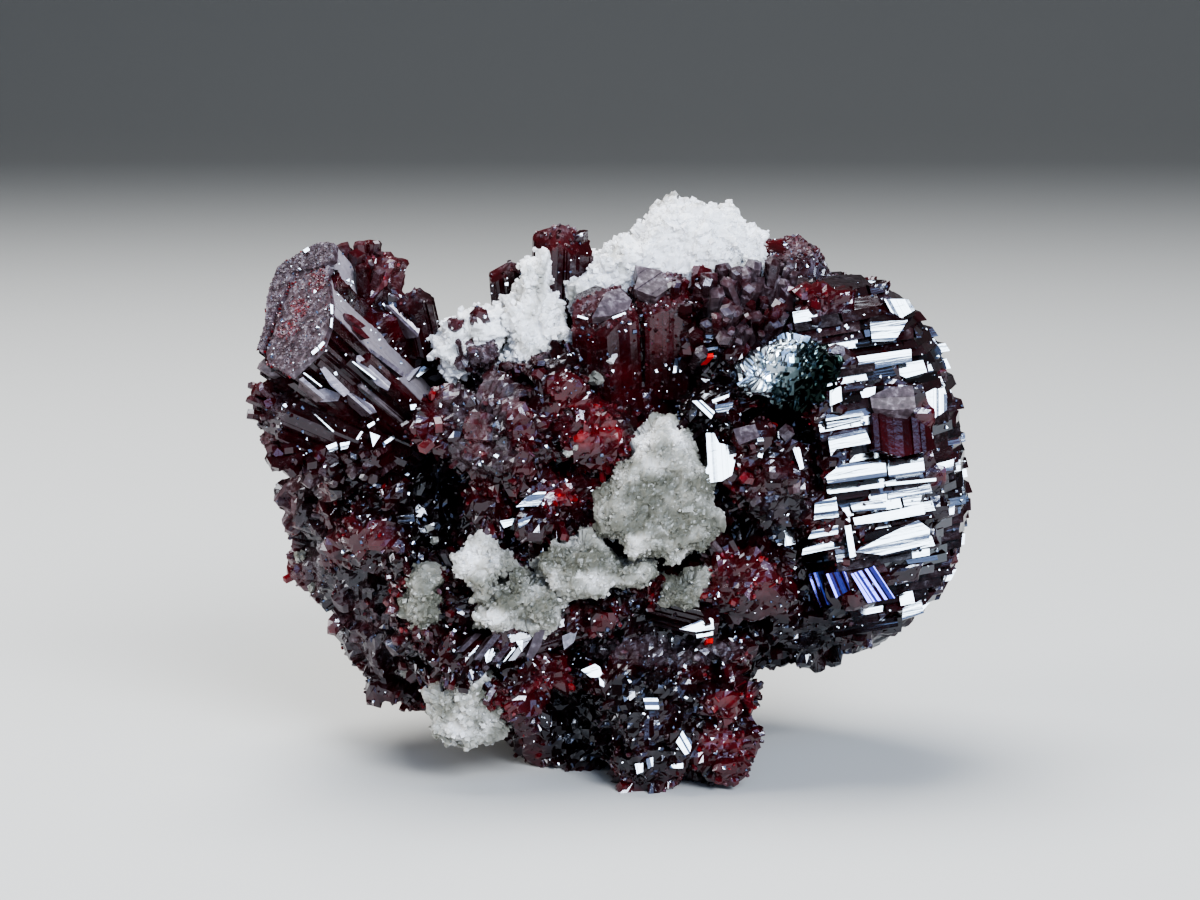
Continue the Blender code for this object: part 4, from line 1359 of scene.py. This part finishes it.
def shade_marks(points):
    """The tone that the calcite spots add at points of the front, painted light and shade among it."""
    at = pixels_of(points)
    return sum(spot_share(at, *spot) * added for *spot, added in CALCITE_TONE_AND_PAINTED_LIGHT)


def sugar(node, tone, coarse, number):
    """A calcite piece: a sugary lump over its slab, with loose-edged grains all over it."""
    rng = dice("sugar", number)
    seed = SEEDS["sugar"] + number
    lump, rows, out = even_skin(node, CALCITE_VOXEL, 3)
    shade = tone + 0.45 * waves(lump, 0.6, seed + 20)
    edge = 1 - np.abs(out[:, 1])
    swell = -0.02 + (0.10 + 0.10 * coarse + 0.30 * edge) * waves(lump, 0.6, seed)
    swell += 0.16 * coarse * waves(lump, 0.28, seed + 50)
    lump = lump + out * swell[:, None]
    lump, _ = faceted(lump, out, CALCITE_VOXEL, (*SUGAR_FACETS, 0.15 * coarse), rng)
    lump, _ = faceted(lump, out, CALCITE_VOXEL, SUGAR_FINE_FACETS, rng)
    count = int(len(lump) * (0.30 - 0.12 * coarse))
    chosen, places = strewn(lump, out, CALCITE_VOXEL, count, rng)
    smallest, largest = 0.015, 0.025 + 0.05 * coarse
    sizes = smallest * (largest / smallest) ** rng.random(count)
    # The calcite's own grey, with painted light and shade
    shade = shade + shade_marks(lump)
    tones = shade[chosen] + rng.uniform(-0.12, 0.2, count)
    grains = grain_cloud(places, sizes, tones, np.zeros(count), rng, 0.2)
    return [(lump, [rows], shade, 0.0), grains]


def glitter(node):
    """The acanthite: broken faces, painted bright on the left as a glitter of the light, and darker to the
    right.
    """
    rng = dice("glitter")
    lump, rows, out = even_skin(node, METAL_VOXEL, 3)
    lump = lump + out * (0.1 + 0.3 * waves(lump, 0.9, SEEDS["glitter"]))[:, None]
    for facets in (METAL_FACETS, METAL_FINE_FACETS):
        lump, _ = faceted(lump, out, METAL_VOXEL, facets, rng)
    # Brighter to the left: a painted glitter of the light
    side = ((pixels_of(lump) - GLITTER_MIDDLE) / GLITTER_REACH).sum(1)
    return [(lump, [rows], np.clip(0.2 - 0.45 * side, -0.6, 0.45), 0.0)]


for number, (node, (tone, coarse)) in enumerate(CALCITE_LOOKS.items()):
    made = sugar(node, tone, coarse, number)
    piece(node.replace("calcite", "sugar"), made, SUGAR, (node,))
piece("acanthite_glitter", glitter("acanthite_grain"), METAL, ("acanthite_grain",))


# Floor, light and camera

LIGHTS_AIM = (0, 0, 8)

# The softboxes: place, width, height, radiance, colour
LIGHTS = {
    "key": (KEY_AT, 90, 60, 34, (0.92, 0.96, 1.0)),
    "key_wide": (KEY_AT * 1.15, 300, 200, 2.6, (0.45, 0.62, 1.0)),
    "top": ((-40, 30, 220), 160, 160, 9, (1.0, 1.0, 1.0)),
    "left": ((-190, -60, 70), 60, 110, 10, (1.0, 0.98, 0.95)),
}

# The floor bends up into a wall behind the part. Its sizes are in metres
FLOOR_HALF, BEND_AT, BEND, WALL_TOP = 2.0, 0.45, 0.5, 1.6
BEND_STEPS = 12


def placed(name, data, at, aim):
    """An object at a place, looking at another."""
    made = linked(name, data)
    at, aim = Vector(at) * MM, Vector(aim) * MM
    made.location = at
    made.rotation_euler = (aim - at).to_track_quat("-Z", "Y").to_euler()
    return made


def floor():
    profile = [(-FLOOR_HALF, 0.0)]
    for step in range(BEND_STEPS + 1):
        angle = step / BEND_STEPS * math.pi / 2
        profile.append((BEND_AT + BEND * math.sin(angle), BEND * (1 - math.cos(angle))))
    profile.append((BEND_AT + BEND, WALL_TOP))
    rows = [(x, y, z) for y, z in profile for x in (-FLOOR_HALF, FLOOR_HALF)]
    quads = [(2 * k, 2 * k + 1, 2 * k + 3, 2 * k + 2) for k in range(len(profile) - 1)]
    mesh = bpy.data.meshes.new("floor")
    mesh.from_pydata(rows, [], quads)
    mesh.shade_smooth()
    mesh.materials.append(floor_material())
    linked("floor", mesh)


def studio_light():
    for name, (at, width, height, radiance, colour) in LIGHTS.items():
        light = bpy.data.lights.new(name, "AREA")
        light.shape = "RECTANGLE"
        light.size = width * MM
        light.size_y = height * MM
        light.energy = math.pi * light.size * light.size_y * radiance
        light.color = colour
        placed(name, light, at, LIGHTS_AIM)
    world = bpy.data.worlds.new("studio")
    world.use_nodes = True
    world.node_tree.nodes["Background"].inputs["Color"].default_value = (0.55, 0.58, 0.62, 1)
    world.node_tree.nodes["Background"].inputs["Strength"].default_value = 0.18
    bpy.context.scene.world = world


def photo_camera():
    camera = bpy.data.cameras.new("camera")
    camera.lens = CAMERA_LENS
    camera.sensor_width = CAMERA_SENSOR
    camera.clip_start = 1 * MM
    camera.clip_end = 10
    bpy.context.scene.camera = placed("camera", camera, CAMERA_AT, CAMERA_AIM)
    bpy.context.scene.view_settings.look = "AgX - Medium High Contrast"


floor()
studio_light()
photo_camera()
